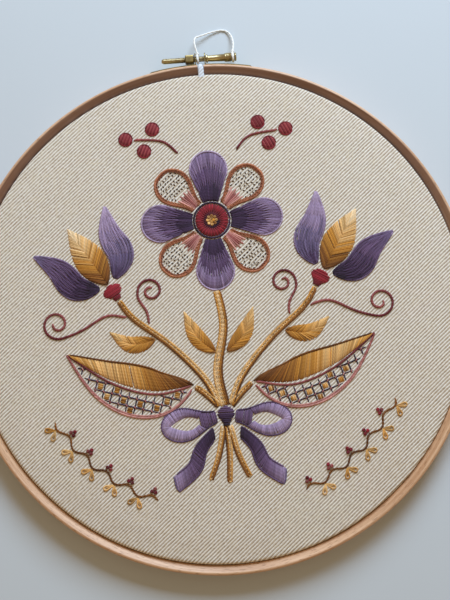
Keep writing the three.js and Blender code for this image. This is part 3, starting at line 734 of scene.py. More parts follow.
for side, hand in (("left", -1), ("right", 1)):
    lug = bend_sheet("brass_lug_" + side, lug_line(hand), aged_brass)
    face_out(lug)
    cut_away(lug, turned("ear_drill", drill_section, drill_place, aged_brass))
    fit(lug, "hoop", "brass", "lug_" + side)
    outward = Vector((hand * sin(tack_angle), cos(tack_angle), 0))
    tack_place = Matrix.Translation(outward * (LUG_INSIDE + LUG_THICKNESS) * MM + tack_foot)
    tack_place = tack_place @ outward.to_track_quat("Z", "X").to_matrix().to_4x4()
    tack = turned("brass_tack_" + side, tack_section, tack_place, brass)
    fit(tack, "hoop", "brass", "tack_" + side)

nut_turn = tau * np.arange(NUT_SIDES) / NUT_SIDES
square = np.abs(np.cos(nut_turn)) ** NUT_SQUARE + np.abs(np.sin(nut_turn)) ** NUT_SQUARE
square = square ** (-1 / NUT_SQUARE) * NUT_SIZE / 2
hole = np.full(NUT_SIDES, NUT_HOLE)
nut_x = [NUT_START, NUT_START, NUT_START + NUT_CHAMFER, NUT_END - NUT_CHAMFER, NUT_END, NUT_END]
nut_reach = np.stack([hole, square - NUT_CHAMFER, square, square, square - NUT_CHAMFER, hole])
corners = about_screw(np.array(nut_x)[:, None], nut_reach, nut_turn)
nut = grid_piece("brass_nut", corners, aged_brass, loop=True, sharp=NUT_SHARP)
face_out(nut)
fit(nut, "hoop", "brass", "nut")

# The thumb screw: one turned brass screw through both ears. It has a fine thread on its rod, a collar
# against the right ear, a shank that widens to a knurled grip, a neck and a slotted end.
SCREW_TIP, SCREW_SLOT_END, SCREW_SIDES = -20.7, 19.6, 40
TIP = [(SCREW_TIP, 0), (SCREW_TIP, 0.8), (SCREW_TIP + 0.9, 1.35)]
ROD_START, ROD_END, ROD_RADIUS = SCREW_TIP + 1.0, 3.3, 1.5
THREAD_PITCH, THREAD_DEPTH, THREAD_CUTS = 0.6, 0.16, 8
GRIP_START, GRIP_END, GRIP_RADIUS, GRIP_ROWS = 13.6, 16.8, 2.45, 26
KNURLS, KNURL_PITCH, KNURL_DEPTH = 20, 0.8, 0.14
SLOT_WIDTH, SLOT_DEPTH, SLOT_LENGTH = 0.8, 0.7, 6
SCREW_SHARP = radians(50)
SHANK = [
    (3.3, 2.1), (3.5, 2.3), (3.9, 2.3), (4.1, 2.1), (4.4, 1.6), (8.8, 1.8), (13.0, 1.98), (13.3, 2.2),
    (13.6, 2.4),
]
HEAD = [
    (16.8, 2.4), (16.95, 1.9), (17.1, 1.7), (18.4, 1.7), (18.55, 1.9), (18.7, 2.25), (18.85, 2.3),
    (19.15, 2.3), (19.4, 2.15), (SCREW_SLOT_END, 1.9), (SCREW_SLOT_END, 0),
]


def round_rows(rows):
    """Plain round stations of the screw, as places along it and radii all the way round."""
    x, radius = np.array(rows).T
    return x, np.repeat(radius[:, None], SCREW_SIDES, axis=1)


rod_x = np.arange(ROD_START, ROD_END, THREAD_PITCH / THREAD_CUTS)
grip_x = np.linspace(GRIP_START, GRIP_END, GRIP_ROWS)[1:-1]
screw_turn = tau * np.arange(SCREW_SIDES) / SCREW_SIDES
phase = (rod_x[:, None] / THREAD_PITCH - screw_turn[None] / tau) % 1
rod_radius = ROD_RADIUS - THREAD_DEPTH * np.abs(2 * phase - 1)
grip_turn = KNURLS * screw_turn[None]
grip_run = tau * (grip_x[:, None] - GRIP_START) / KNURL_PITCH
knurl = np.sin(grip_turn + grip_run) * np.sin(grip_turn - grip_run)
grip_radius = GRIP_RADIUS + KNURL_DEPTH * knurl
stations = [round_rows(TIP), (rod_x, rod_radius), round_rows(SHANK), (grip_x, grip_radius), round_rows(HEAD)]
screw_x = np.concatenate([x for x, _ in stations])
screw_radius = np.vstack([radius for _, radius in stations])
corners = about_screw(screw_x[:, None], screw_radius, screw_turn)
screw = grid_piece("brass_thumb_screw", corners, brass, sharp=SCREW_SHARP)
weld(screw)
face_out(screw)

cutter = put("slot_cutter", bpy.data.meshes.new("slot_cutter"))
rework(cutter, lambda work: bmesh.ops.create_cube(work, size=1))
cutter.scale = (2 * SLOT_DEPTH * MM, SLOT_WIDTH * MM, SLOT_LENGTH * MM)
cutter.location = screw_middle + Vector((SCREW_SLOT_END * MM, 0, 0))
cut_away(screw, cutter)
fit(screw, "screw", "brass", "thumb_screw")

# The stems: rows of crewel wool side by side, straw in the light and brown in the shade, worked in chain
# stitch between edges of stem stitch, with the wool carried behind the cloth from stitch to stitch. Two
# side stems and the leaf stalks branch from the foot, and the cut ends show below the bow.
DESIGN_RAISE, STEM_SEED = 5.0, 11
STITCH_STEPS, STITCH_DIP, STITCH_FLAT = 6, 0.3, 0.8
LOOP_STEPS, LOOP_LIFT, LOOP_DIP, LOOP_FLAT, LOOP_WOOL = 9, 0.4, 0.1, 0.85, 0.6
CARRY_LEAST, CARRY_MOST, CARRY_DIVE, CARRY_DEPTH = 0.4, 26.0, 0.1, 0.2
CARRY_RADIUS_SHARE, CARRY_FLAT, THIN_SIDES = 0.4, 0.7, 5
LINK_LAP = 1.2
WOOL_WIDTH, EDGE_WOOL, FINE_WOOL, WOOL_TWIST = 0.98, 0.8, 0.85, 1.8
SHADE_SPREAD, SHADE_LEAST, SHADE_MOST, SHADE_WANDER = 0.14, 0.7, 1.3, 0.06
START_WANDER, LIFT_WANDER, STEM_TAPER = 0.06, 0.03, 0.3
STRAW, PALE_STRAW, GOLD, OCHRE, BROWN = "e0b475", "efd2a6", "c0842f", "834f17", "562f0b"
MAIN_STEM = [(0, -53), (-2.5, -35), (2, -12), (0, 6.4)], 5.0
SIDE_STEM = [(2.9, -53), (10, -38), (26, -20), (44, -5), (51, 4.8)], 3.4
STALK = [(3.2, -53), (9, -47), (14.4, -42.4)], 3.2
STEM_END = [(0, -63.5), (0.6, -76), (-0.5, -92)], 3.2
SIDE_END = [(1.6, -63.5), (5, -78), (10, -90)], 3.0


def stem_width(u):
    """Share of a stem's width from its thick foot to its thin end."""
    return 1 - STEM_TAPER * u


def blade(knots, width, profile, hand=1):
    """The shape of a leaf, petal or stem: a place on it by its share along and across, and its length."""
    line = smooth_line(knots, 200)
    slope = unit(np.gradient(line, axis=0))
    shares = np.linspace(0, 1, 200)

    def place(u, s):
        u, s = np.broadcast_arrays(np.clip(np.asarray(u, float), 0, 1), np.asarray(s, float))
        x, y, run_x, run_y = (np.interp(u, shares, c) for c in (*line.T, *slope.T))
        out = s * width / 2 * profile(u)
        return np.stack([hand * (x - out * run_y), y + out * run_x + DESIGN_RAISE], axis=-1)

    return place, length_of(line)


def along_line(line, distance, aside=0.0):
    """Points at given distances along a line, moved aside by so many millimetres."""
    run = run_along(line)
    slope = unit(np.gradient(line, axis=0))
    x, y, run_x, run_y = (np.interp(distance, run, c) for c in (*line.T, *slope.T))
    return np.stack([x - aside * run_y, y + aside * run_x], axis=-1)


def rays(angle):
    """Directions at the given angles."""
    return np.stack([np.cos(angle), np.sin(angle)], axis=-1)


def dye(codes, share, chance):
    """Wool colours along a run of shades, each stitch a little lighter or darker than the next."""
    shades = np.array([colour_of(code) for code in codes])
    at = np.clip(share, 0, 1) * (len(shades) - 1)
    mixed = np.column_stack([np.interp(at, np.arange(len(shades)), column) for column in shades.T])
    return mixed * np.clip(chance.normal(1, SHADE_SPREAD, (len(mixed), 1)), SHADE_LEAST, SHADE_MOST)


def lay(starts, ends, lift, dyes, width=WOOL_WIDTH, sag=0.0):
    """Stitches that come up through the cloth, lie over it and go down again, sagging aside if need be."""
    t = (1 - np.cos(pi * np.linspace(0, 1, STITCH_STEPS))) / 2
    arch = 1 - np.abs(2 * t - 1) ** 4
    lift = np.broadcast_to(lift, (len(starts),))
    aside = np.broadcast_to(sag, starts.shape)[:, None] * (4 * t * (1 - t))[:, None]
    flat = starts[:, None] + (ends - starts)[:, None] * t[:, None] + aside
    height = CLOTH_TOP - STITCH_DIP + (lift[:, None] + STITCH_DIP) * arch
    stitches = spin(np.dstack([flat, height]), width / 2 * (0.75 + 0.25 * arch), dyes, flat=STITCH_FLAT)
    stitches["carried"] = ends[:-1], starts[1:], dyes[:-1]
    return stitches


def loop_stitches(starts, ends, wide, dyes, width=LOOP_WOOL):
    """Looped stitches, each open from where it comes up to where it is caught down."""
    t = np.linspace(0, 1, LOOP_STEPS)
    forward = np.sin(pi * t) ** 0.8
    aside = wide / 2 * np.sin(tau * t) * (0.75 + 0.25 * np.sin(pi * t))
    run = ends - starts
    across = unit(left_of(run))
    flat = starts[:, None] + forward[:, None] * run[:, None] + aside[:, None] * across[:, None]
    height = CLOTH_TOP - LOOP_DIP + (LOOP_LIFT + LOOP_DIP) * np.minimum(1, 5 * np.minimum(t, 1 - t))
    points = np.dstack([flat, np.broadcast_to(height, flat.shape[:2])])
    loops = spin(points, width / 2, dyes, sides=THIN_SIDES, flat=LOOP_FLAT)
    loops["carried"] = starts, ends, dyes
    return loops


def carry(leaves, arrives, dyes):
    """Wool behind the cloth, carried from where one stitch goes down to where the next comes up."""
    run = np.linalg.norm(arrives - leaves, axis=1)
    kept = (run > CARRY_LEAST) & (run < CARRY_MOST)
    t = np.array([0, CARRY_DIVE, 1 - CARRY_DIVE, 1])
    flat = leaves[kept][:, None] + (arrives - leaves)[kept][:, None] * t[:, None]
    under = CLOTH_TOP - CLOTH_THICKNESS + CARRY_DEPTH * np.array([1, -1, -1, 1])
    points = np.dstack([flat, np.broadcast_to(under, flat.shape[:2])])
    return spin(points, CARRY_RADIUS_SHARE * WOOL_WIDTH, dyes[kept], sides=THIN_SIDES, flat=CARRY_FLAT)


def stem_stitch(line, codes, chance, step=1.5, reach=3.0, slant=0.24, lift=0.42, width=WOOL_WIDTH):
    """A row of stem stitch: slanting stitches that overlap by half, like the turns of a rope."""
    total = length_of(line)
    count = max(2, round(total / step))
    start = np.linspace(0, max(total - reach, step), count) + chance.normal(0, START_WANDER, count)
    starts = along_line(line, start, -slant)
    ends = along_line(line, np.minimum(start + reach, total), slant)
    shades = dye(codes, (start + reach / 2) / total, chance)
    return lay(starts, ends, lift + chance.normal(0, LIFT_WANDER, count), shades, width)


def chain_stitch(line, codes, chance, step=2.2, wide=1.1):
    """A row of chain stitch: looped links, each coming up inside the one before."""
    total = length_of(line)
    count = max(2, round(total / step))
    start = np.linspace(0, total - LINK_LAP * step, count)
    shades = dye(codes, (start + step / 2) / total, chance)
    return loop_stitches(along_line(line, start), along_line(line, start + LINK_LAP * step), wide, shades)


def stem_rows(stem, hand, chance, rows):
    """Rows of stem and chain stitch that fill one stem from side to side."""
    place, _ = blade(*stem, stem_width, hand)
    shares = np.linspace(0, 1, 120)
    return [kind(place(shares, across), codes, chance) for across, kind, codes in rows]


def stitched(motif, batches, slot, padded=True):
    """One motif in wool with its carried threads behind, in the place of its pad where it has one."""
    behind = [carry(*batch["carried"]) for batch in batches if "carried" in batch]
    piece = sew("sewn_" + motif, batches + behind, wool)
    fit(piece, "hoop", slot, *([motif] if padded else []))


wool = yarn_finish("crewel_wool", 0.9, 0.1, WOOL_TWIST, 0.4)
chance = np.random.default_rng(STEM_SEED)
WIDE_ROWS = [
    (0.84, stem_stitch, [STRAW, GOLD]),
    (0.46, chain_stitch, [PALE_STRAW, STRAW]),
    (0.1, chain_stitch, [STRAW, PALE_STRAW]),
    (-0.24, chain_stitch, [GOLD, STRAW]),
    (-0.56, stem_stitch, [OCHRE, GOLD]),
    (-0.86, stem_stitch, [BROWN, OCHRE]),
]
SLIM_ROWS = [
    (0.76, stem_stitch, [STRAW, GOLD]),
    (0.2, chain_stitch, [PALE_STRAW, STRAW]),
    (-0.36, stem_stitch, [GOLD, OCHRE]),
    (-0.8, stem_stitch, [BROWN, OCHRE]),
]
stems = stem_rows(MAIN_STEM, 1, chance, WIDE_ROWS)
stem_ends = stem_rows(STEM_END, 1, chance, SLIM_ROWS)
for hand in (1, -1):
    stems += stem_rows(SIDE_STEM, hand, chance, SLIM_ROWS)
    stems += stem_rows(STALK, hand, chance, SLIM_ROWS)
    stem_ends += stem_rows(SIDE_END, hand, chance, SLIM_ROWS)
stitched("stems", stems, "straw_wool")
stitched("stem_ends", stem_ends, "straw_wool")

# The round flower: eight petals about a crimson eye. Every other petal is shaded in long and short stitch
# from deep purple to lilac, and those between are rust outlines with dark seeding on the bare linen.
FLOWER_CENTRE = np.array([0.0, 44.0 + DESIGN_RAISE])
PETAL_COUNT, PETAL_SEED, EYE_SEED = 8, 100, 21
PETAL_START, PETAL_END, PETAL_WIDTH = 10.5, 37.0, 19.6
PETAL_SHOULDER, PETAL_FOOT = 0.62, 0.36
PETAL_RANKS = ((17, 0.0, 0.44, 0.42), (26, 0.32, 0.76, 0.54), (34, 0.64, 1.0, 0.66))
PETAL_EDGE, EDGE_SHARE, RANK_STEP, RANK_WANDER = 0.3, 0.97, 0.07, 0.02
OUTLINE_INSET, CHAIN_INSET, INSET_LEAST, PETAL_LINK = 0.45, 1.55, 0.4, (1.8, 1.0)
FAN_STITCHES, FAN_REACH, FAN_FALL, FAN_STEP, FAN_FOOT, FAN_LIFT = 7, 19.5, 14, 1.6, 0.7, 0.4
SEED_FROM, SEED_END, SEED_ROW, SEED_PITCH, SEED_EDGE = 19.0, 2.6, 2.0, 1.9, 2.7
SEED_LONG, SEED_WIDTH, SEED_LIFT, SEED_WANDER, SEED_SHIFT = 1.15, 0.55, 0.3, 0.22, 0.45
FAN_CLEAR_REACH, FAN_CLEAR_ASIDE = 22.5, 4.2
EYE_STITCHES, EYE_RIM, EYE_RADIUS, EYE_INNER, EYE_STEP = 60, 9.5, 8.7, 4.9, 1.3
CORE_STITCHES, CORE_RADIUS, CORE_INNER = 24, 5.0, 2.0
EYE_LIFT, CORE_LIFT, EYE_SHADE = 0.6, 0.5, 0.6
EYE_KNOTS, EYE_KNOT_SIZE, EYE_KNOT_BASE = ((8, 2.3), (4, 0.9)), 1.4, 0.25
WOUND, WOUND_RADIUS, WOUND_TAPER, WOUND_RISE, WOUND_STRAND = 1.7, 0.44, 0.35, 0.5, 0.3
PURPLES = ["251628", "422c4a", "685070", "9c86a5"]
LILAC, SLATE = "ad98b3", "695a7a"
CRIMSON, MAROON, ROSE, PINK = "94242f", "611821", "9a5450", "ca9186"
RUST, TERRACOTTA, SEED = "86472a", "b67553", "40291f"


def petal_width(u):
    """Share of a petal's width, from its narrow foot past a full shoulder to its round end."""
    swell = (1 - np.cos(pi * np.minimum(u, PETAL_SHOULDER) / PETAL_SHOULDER)) / 2
    fall = np.sqrt(np.clip(1 - ((u - PETAL_SHOULDER) / (1 - PETAL_SHOULDER)) ** 2, 0, 1))
    return np.where(u < PETAL_SHOULDER, PETAL_FOOT + (1 - PETAL_FOOT) * swell, fall)


petal_shares = np.linspace(0, 1, 400)
petal_reach = PETAL_START + (PETAL_END - PETAL_START) * petal_shares
petal_half = PETAL_WIDTH / 2 * petal_width(petal_shares)
petal_bearing = np.arctan2(petal_half, petal_reach)
petal_rim = np.hypot(petal_reach, petal_half)
widest = int(petal_bearing.argmax())
petal_span = float(petal_bearing[widest])


def rim_at(bearing):
    """Distance from the flower's centre to a petal's rim, by the angle from the petal's middle."""
    return np.interp(np.abs(bearing), petal_bearing[widest:][::-1], petal_rim[widest:][::-1])


def from_centre(bearing, distance):
    """Points at given bearings and distances from the flower's centre."""
    bearing, distance = np.broadcast_arrays(bearing, distance)
    return FLOWER_CENTRE + distance[..., None] * rays(bearing)


def by_turns(count):
    """One and minus one by turns, for stitches that are long and short."""
    return np.where(np.arange(count) % 2, 1, -1)


def shaded_petal(middle, chance):
    """Three ranks of long and short stitch along rays from the flower's centre, and a pale edge."""
    batches = []
    foot = PETAL_START - PETAL_EDGE
    for count, inner, outer, lift in PETAL_RANKS:
        bearing = EDGE_SHARE * petal_span * np.linspace(-1, 1, count)
        reach = rim_at(bearing) - PETAL_EDGE - foot
        uneven = RANK_STEP * by_turns(count) + chance.normal(0, RANK_WANDER, count)
        far = from_centre(middle + bearing, foot + reach * (outer + uneven if outer < 1 else 1))
        near = from_centre(middle + bearing, foot + reach * (inner + uneven if inner > 0 else 0))
        shades = dye(PURPLES, (outer + inner) / 2 + chance.normal(0, SHADE_WANDER, count), chance)
        batches.append(lay(far, near, lift + chance.normal(0, LIFT_WANDER, count), shades))
    bearing = petal_span * np.linspace(-1, 1, 160)
    edge = from_centre(middle + bearing, rim_at(bearing))
    batches.append(stem_stitch(edge, [LILAC, LILAC], chance, width=EDGE_WOOL))
    return batches


def outline_of_petal(inset):
    """A petal's edge, drawn in by a little, from one foot round the end to the other."""
    side = np.maximum(petal_half - inset, INSET_LEAST)
    reach = np.minimum(petal_reach, PETAL_END - inset)
    return np.concatenate([np.column_stack([reach, side]), np.column_stack([reach, -side])[::-1]])


def turned_out(points, middle):
    """Points of a petal lying along +X, moved to its place round the flower."""
    out = rays(middle)
    return FLOWER_CENTRE + points[:, :1] * out + points[:, 1:] * left_of(out)


def seeds(spots, chance):
    """Short dark stitches lying every way."""
    lean = chance.uniform(0, pi, len(spots))
    half = SEED_LONG / 2 * rays(lean)
    return lay(spots - half, spots + half, SEED_LIFT, dye([SEED, SEED], lean, chance), SEED_WIDTH)


def open_petal(middle, chance):
    """An outline of stem stitch and chain stitch, a small fan at the foot and seeding between."""
    outer_edge = turned_out(outline_of_petal(OUTLINE_INSET), middle)
    inner_edge = turned_out(outline_of_petal(CHAIN_INSET), middle)
    batches = [
        stem_stitch(outer_edge, [RUST, TERRACOTTA, RUST], chance),
        chain_stitch(inner_edge, [TERRACOTTA, RUST, TERRACOTTA], chance, *PETAL_LINK),
    ]
    fan = np.linspace(-0.5, 0.5, FAN_STITCHES) * petal_span
    tips = FAN_REACH - FAN_FALL * fan**2 + np.where(np.arange(FAN_STITCHES) % 2, 0, FAN_STEP)
    shades = dye([ROSE, PINK], np.abs(fan) / fan.max(), chance)
    fan_feet = from_centre(middle + FAN_FOOT * fan, PETAL_START)
    batches.append(lay(fan_feet, from_centre(middle + fan, tips), FAN_LIFT, shades))
    spots = []
    for row, reach in enumerate(np.arange(SEED_FROM, PETAL_END - SEED_END, SEED_ROW)):
        half = np.interp(reach, petal_reach, petal_half) - SEED_EDGE
        for aside in np.arange(-half + SEED_SHIFT * (row % 2), half, SEED_PITCH):
            if reach > FAN_CLEAR_REACH or abs(aside) > FAN_CLEAR_ASIDE:
                spots.append((reach, aside))
    spots = np.array(spots) + chance.normal(0, SEED_WANDER, (len(spots), 2))
    batches.append(seeds(turned_out(spots, middle), chance))
    return batches


def french_knots(spots, codes, chance, size, base=0.15):
    """Knots wound twice round the needle, standing on the cloth like beads."""
    t = np.linspace(0, 1, 13)
    angle = chance.uniform(0, tau, len(spots))[:, None] + tau * WOUND * t
    reach = size * WOUND_RADIUS * (1 - WOUND_TAPER * t)
    height = CLOTH_TOP + base + size * WOUND_RISE * t
    flat = spots[:, None] + reach[:, None] * rays(angle)
    points = np.dstack([flat, np.broadcast_to(height, flat.shape[:2])])
    return spin(points, size * WOUND_STRAND, dye(codes, chance.uniform(0, 1, len(spots)), chance))


def spokes(count):
    """Bearings evenly round the flower."""
    return tau * np.arange(count) / count


for k in range(PETAL_COUNT):
    middle = pi / 2 + k * tau / PETAL_COUNT
    chance = np.random.default_rng(PETAL_SEED + k)
    if k % 2 == 0:
        stitched(f"petal_{k + 1}", shaded_petal(middle, chance), "purple_wool")
    else:
        stitched(f"petal_{k + 1}", open_petal(middle, chance), "rust_wool")

chance = np.random.default_rng(EYE_SEED)
outer, inner = spokes(EYE_STITCHES), spokes(CORE_STITCHES)
odd = np.arange(EYE_STITCHES) % 2
outer_ends = from_centre(outer, EYE_INNER - EYE_STEP * odd)
outer_dyes = dye([CRIMSON, MAROON], EYE_SHADE * odd, chance)
inner_dyes = dye([MAROON, PURPLES[0]], inner / tau, chance)
rim = from_centre(np.linspace(0, tau, 120), EYE_RIM)
knot_spots = np.vstack([from_centre(spokes(count), reach) for count, reach in EYE_KNOTS])
eye = [
    lay(from_centre(outer, EYE_RADIUS), outer_ends, EYE_LIFT, outer_dyes),
    lay(from_centre(inner, CORE_RADIUS), from_centre(inner, CORE_INNER), CORE_LIFT, inner_dyes),
    stem_stitch(rim, [PURPLES[1], PURPLES[0], PURPLES[1]], chance, width=FINE_WOOL),
    french_knots(knot_spots, [GOLD, STRAW, OCHRE], chance, EYE_KNOT_SIZE, EYE_KNOT_BASE),
]
stitched("flower_eye", eye, "crimson_wool")

# The tulips: one on each side stem. Each has an outer petal in deep purple, an inner one in lilac, a gold
# heart between them in fishbone stitch and a crimson cup in satin stitch where the stem joins.
SIDES, TULIP_SEED = (("right", 1), ("left", -1)), 31
TULIP_FOOT, TULIP_TILT = np.array([54.0, 10.0]), radians(-32)
TULIP_SIDE, SIDE_WIDTH = [(4.5, 4.8), (14.5, 13), (16.5, 26), (23, 40)], 14.0
TULIP_HEART, HEART_WIDTH = [(0, 5), (0, 22), (0, 41)], 17.0
TULIP_CUP, CUP_WIDTH, CUP_PITCH = [(0, -4.5), (0, 0), (0, 3.6)], 11.0, 0.68
STITCH_PITCH, STITCH_WANDER, FILL_LIFT = 0.84, 0.22, 0.6
SIDE_RANKS, RANK_LIFT, RANK_LAP, RANK_SHARE = 6, 0.5, 0.05, 0.93
SATIN_WANDER, SATIN_WOBBLE, BONE_WANDER = 0.04, 0.02, 0.05
RANK_FROM, RANK_TO, RANK_UNEVEN, RANK_UNEVEN_WANDER = 0.01, 0.985, 0.03, 0.012
BONE_LIFT, BONE_CROSS, BONE_FROM, BONE_TO, BONE_OFFSET = 0.55, 0.1, 0.05, 0.995, 0.25
HEART_LEAN, SATIN_REACH, SATIN_END = 0.2, 0.96, 0.98
GOLDS, CUP_REDS = [BROWN, OCHRE, GOLD, STRAW, PALE_STRAW], [MAROON, CRIMSON, CRIMSON]
TULIP_PETALS = (
    ("outer", 1, "purple_wool", PURPLES[:3] + [SLATE], [PURPLES[1], PURPLES[3]]),
    ("inner", -1, "lilac_wool", [PURPLES[1], SLATE, PURPLES[3], LILAC], [PURPLES[2], LILAC]),
)


def leaf_width(u):
    """Share of a leaf's width: pointed at both ends and fullest below its middle."""
    return np.sin(pi * u**0.8)


def tulip_part(knots, mirror=1):
    """A tulip's own points, across and up, in their place on the right of the design."""
    knots = np.array(knots, float) * (mirror, 1)
    turn = np.array([[cos(TULIP_TILT), sin(TULIP_TILT)], [-sin(TULIP_TILT), cos(TULIP_TILT)]])
    return TULIP_FOOT + knots @ turn


def long_and_short(place, width, profile, codes, chance):
    """Ranks of stitches along a blade, each rank's ends let in between those of the next."""
    batches = []
    for rank in range(SIDE_RANKS):
        low, high = rank / SIDE_RANKS, (rank + 1) / SIDE_RANKS
        fullest = float(profile(np.linspace(low, high, 9)).max())
        count = max(4, round(width * fullest / STITCH_PITCH))
        s = RANK_SHARE * np.linspace(-1, 1, count)
        uneven = RANK_UNEVEN * by_turns(count) + chance.normal(0, RANK_UNEVEN_WANDER, count)
        foot = np.clip(low - RANK_LAP + (uneven if rank else 0), RANK_FROM, 1)
        tip = np.clip(high + RANK_LAP + (uneven if rank < SIDE_RANKS - 1 else 0), 0, RANK_TO)
        shades = dye(codes, (low + high) / 2 + chance.normal(0, SHADE_WANDER, count), chance)
        starts, ends = place(foot, s), place(tip, s)
        sag = place((foot + tip) / 2, s) - (starts + ends) / 2
        batches.append(lay(starts, ends, RANK_LIFT + chance.normal(0, SATIN_WANDER, count), shades, sag=sag))
    return batches


def edge_rows(place, codes, chance, sides=(EDGE_SHARE, -EDGE_SHARE), first=0.02, last=0.98):
    """Rows of stem stitch along the sides of a blade."""
    shares = np.linspace(first, last, 140)
    return [stem_stitch(place(shares, s), codes, chance, width=EDGE_WOOL) for s in sides]


def fishbone(place, length, codes, chance, lean):
    """Stitches from the edge slanting down to a middle line, crossing it a little by turns."""
    batches = []
    count = round(length / STITCH_PITCH)
    u = np.linspace(BONE_FROM, BONE_TO, count)
    for hand in (1, -1):
        shift = BONE_OFFSET * hand / count + chance.normal(0, STITCH_WANDER / count, count)
        starts = place(u + shift, EDGE_SHARE * hand)
        ends = place(u - lean + shift, -BONE_CROSS * hand)
        shades = dye(codes, u + chance.normal(0, SHADE_WANDER, count), chance)
        batches.append(lay(starts, ends, BONE_LIFT + chance.normal(0, BONE_WANDER, count), shades))
    return batches


def satin(place, length, codes, chance, first, last, pitch, lean=0.0, lift=FILL_LIFT, reach=1.0):
    """Stitches laid side by side across a blade, straight or leaning."""
    count = max(4, round(length * (last - first) / pitch))
    u = np.linspace(first, last, count) + chance.normal(0, STITCH_WANDER * (last - first) / count, count)
    wobble = chance.normal(0, SATIN_WOBBLE, count)
    starts = place(u - lean / 2, reach + wobble)
    ends = place(u + lean / 2, -reach + wobble)
    return [lay(starts, ends, lift + chance.normal(0, SATIN_WANDER, count), dye(codes, u, chance))]


for side, hand in SIDES:
    chance = np.random.default_rng(TULIP_SEED + hand)
    place, length = blade(tulip_part(TULIP_HEART), HEART_WIDTH, leaf_width, hand)
    stitched(f"tulip_{side}_heart", fishbone(place, length, GOLDS, chance, HEART_LEAN), "gold_wool")
    for label, mirror, slot, codes, edges in TULIP_PETALS:
        place, _ = blade(tulip_part(TULIP_SIDE, mirror), SIDE_WIDTH, leaf_width, hand)
        petal = long_and_short(place, SIDE_WIDTH, leaf_width, codes, chance)
        petal += edge_rows(place, edges, chance)
        stitched(f"tulip_{side}_{label}", petal, slot)
    place, length = blade(tulip_part(TULIP_CUP), CUP_WIDTH, petal_width, hand)
    cup = satin(place, length, CUP_REDS, chance, 0.0, SATIN_END, CUP_PITCH, reach=SATIN_REACH)
    stitched(f"tulip_{side}_cup", cup, "crimson_wool")

# The leaves: each large leaf has a gold half in slanting satin stitch and a bare half inside a rose
# outline, crossed by a purple trellis. Small gold leaves in fishbone stitch grow from the stems.
BIG_LEAF, BIG_LEAF_WIDTH = [(15.5, -41.5), (36, -44.5), (58, -37), (80, -21)], 27.0
SMALL_LEAVES = [[(3.2, -25), (12, -17), (18, -3)], [(34, -16.5), (46, -18.5), (57, -11)]]
SMALL_LEAF_WIDTH = 9.0
RIB_SHARE, FILL_LEAN, SMALL_LEAN, LEAF_SEED = 0.09, 0.1, 0.22, 41
FILL_FROM, FILL_TO, FILL_EDGE = 0.05, 0.985, 0.99
BARE_FROM, BARE_TO, INNER_LINE, RIB_LINE = 0.02, 0.995, -0.9, -0.02
LEAF_STEPS = 240
BARE_FROM_RIB, BARE_FROM_EDGE, BARE_FOOT, BARE_TIP = 0.6, 1.3, 0.06, 0.95
TRELLIS_MIDDLE, TRELLIS_TURN = (48.0, -41.0), radians(62)
TRELLIS_PITCH, TRELLIS_LINES = 4.4, np.arange(-14, 15)
TRELLIS_SWEEP, TRELLIS_LEAST = np.arange(-60, 60, 0.2)[:, None], 8
TRELLIS_LIFT, TRELLIS_WOOL, CROSS_LIFT, CROSS_WOOL = 0.36, 0.7, 0.7, 0.6
CROSS_HALF, WINDOW_HALF, WINDOW_SHIFTS = 0.8, 1.3, (-0.9, 0.0, 0.9)
LINE_CLEAR, CROSS_CLEAR, WINDOW_CLEAR, WINDOW_LIFT = 0.2, 0.3, 1.7, 0.4


def inside_half(points, hand, clear):
    """Which points lie on the bare half of a large leaf, so far inside its outline."""
    line = smooth_line(BIG_LEAF, LEAF_STEPS) * (hand, 1) + (0, DESIGN_RAISE)
    slope = unit(np.gradient(line, axis=0))
    apart = points[:, None] - line[None]
    nearest = (apart**2).sum(axis=2).argmin(axis=1)
    offset = np.take_along_axis(apart, nearest[:, None, None], axis=1)[:, 0]
    run = slope[nearest]
    aside = hand * (run[:, 0] * offset[:, 1] - run[:, 1] * offset[:, 0])
    u = nearest / (LEAF_STEPS - 1)
    half = BIG_LEAF_WIDTH / 2 * leaf_width(u)
    within = (aside < -BARE_FROM_RIB - clear) & (aside > clear + BARE_FROM_EDGE - half)
    return within & (u > BARE_FOOT) & (u < BARE_TIP)


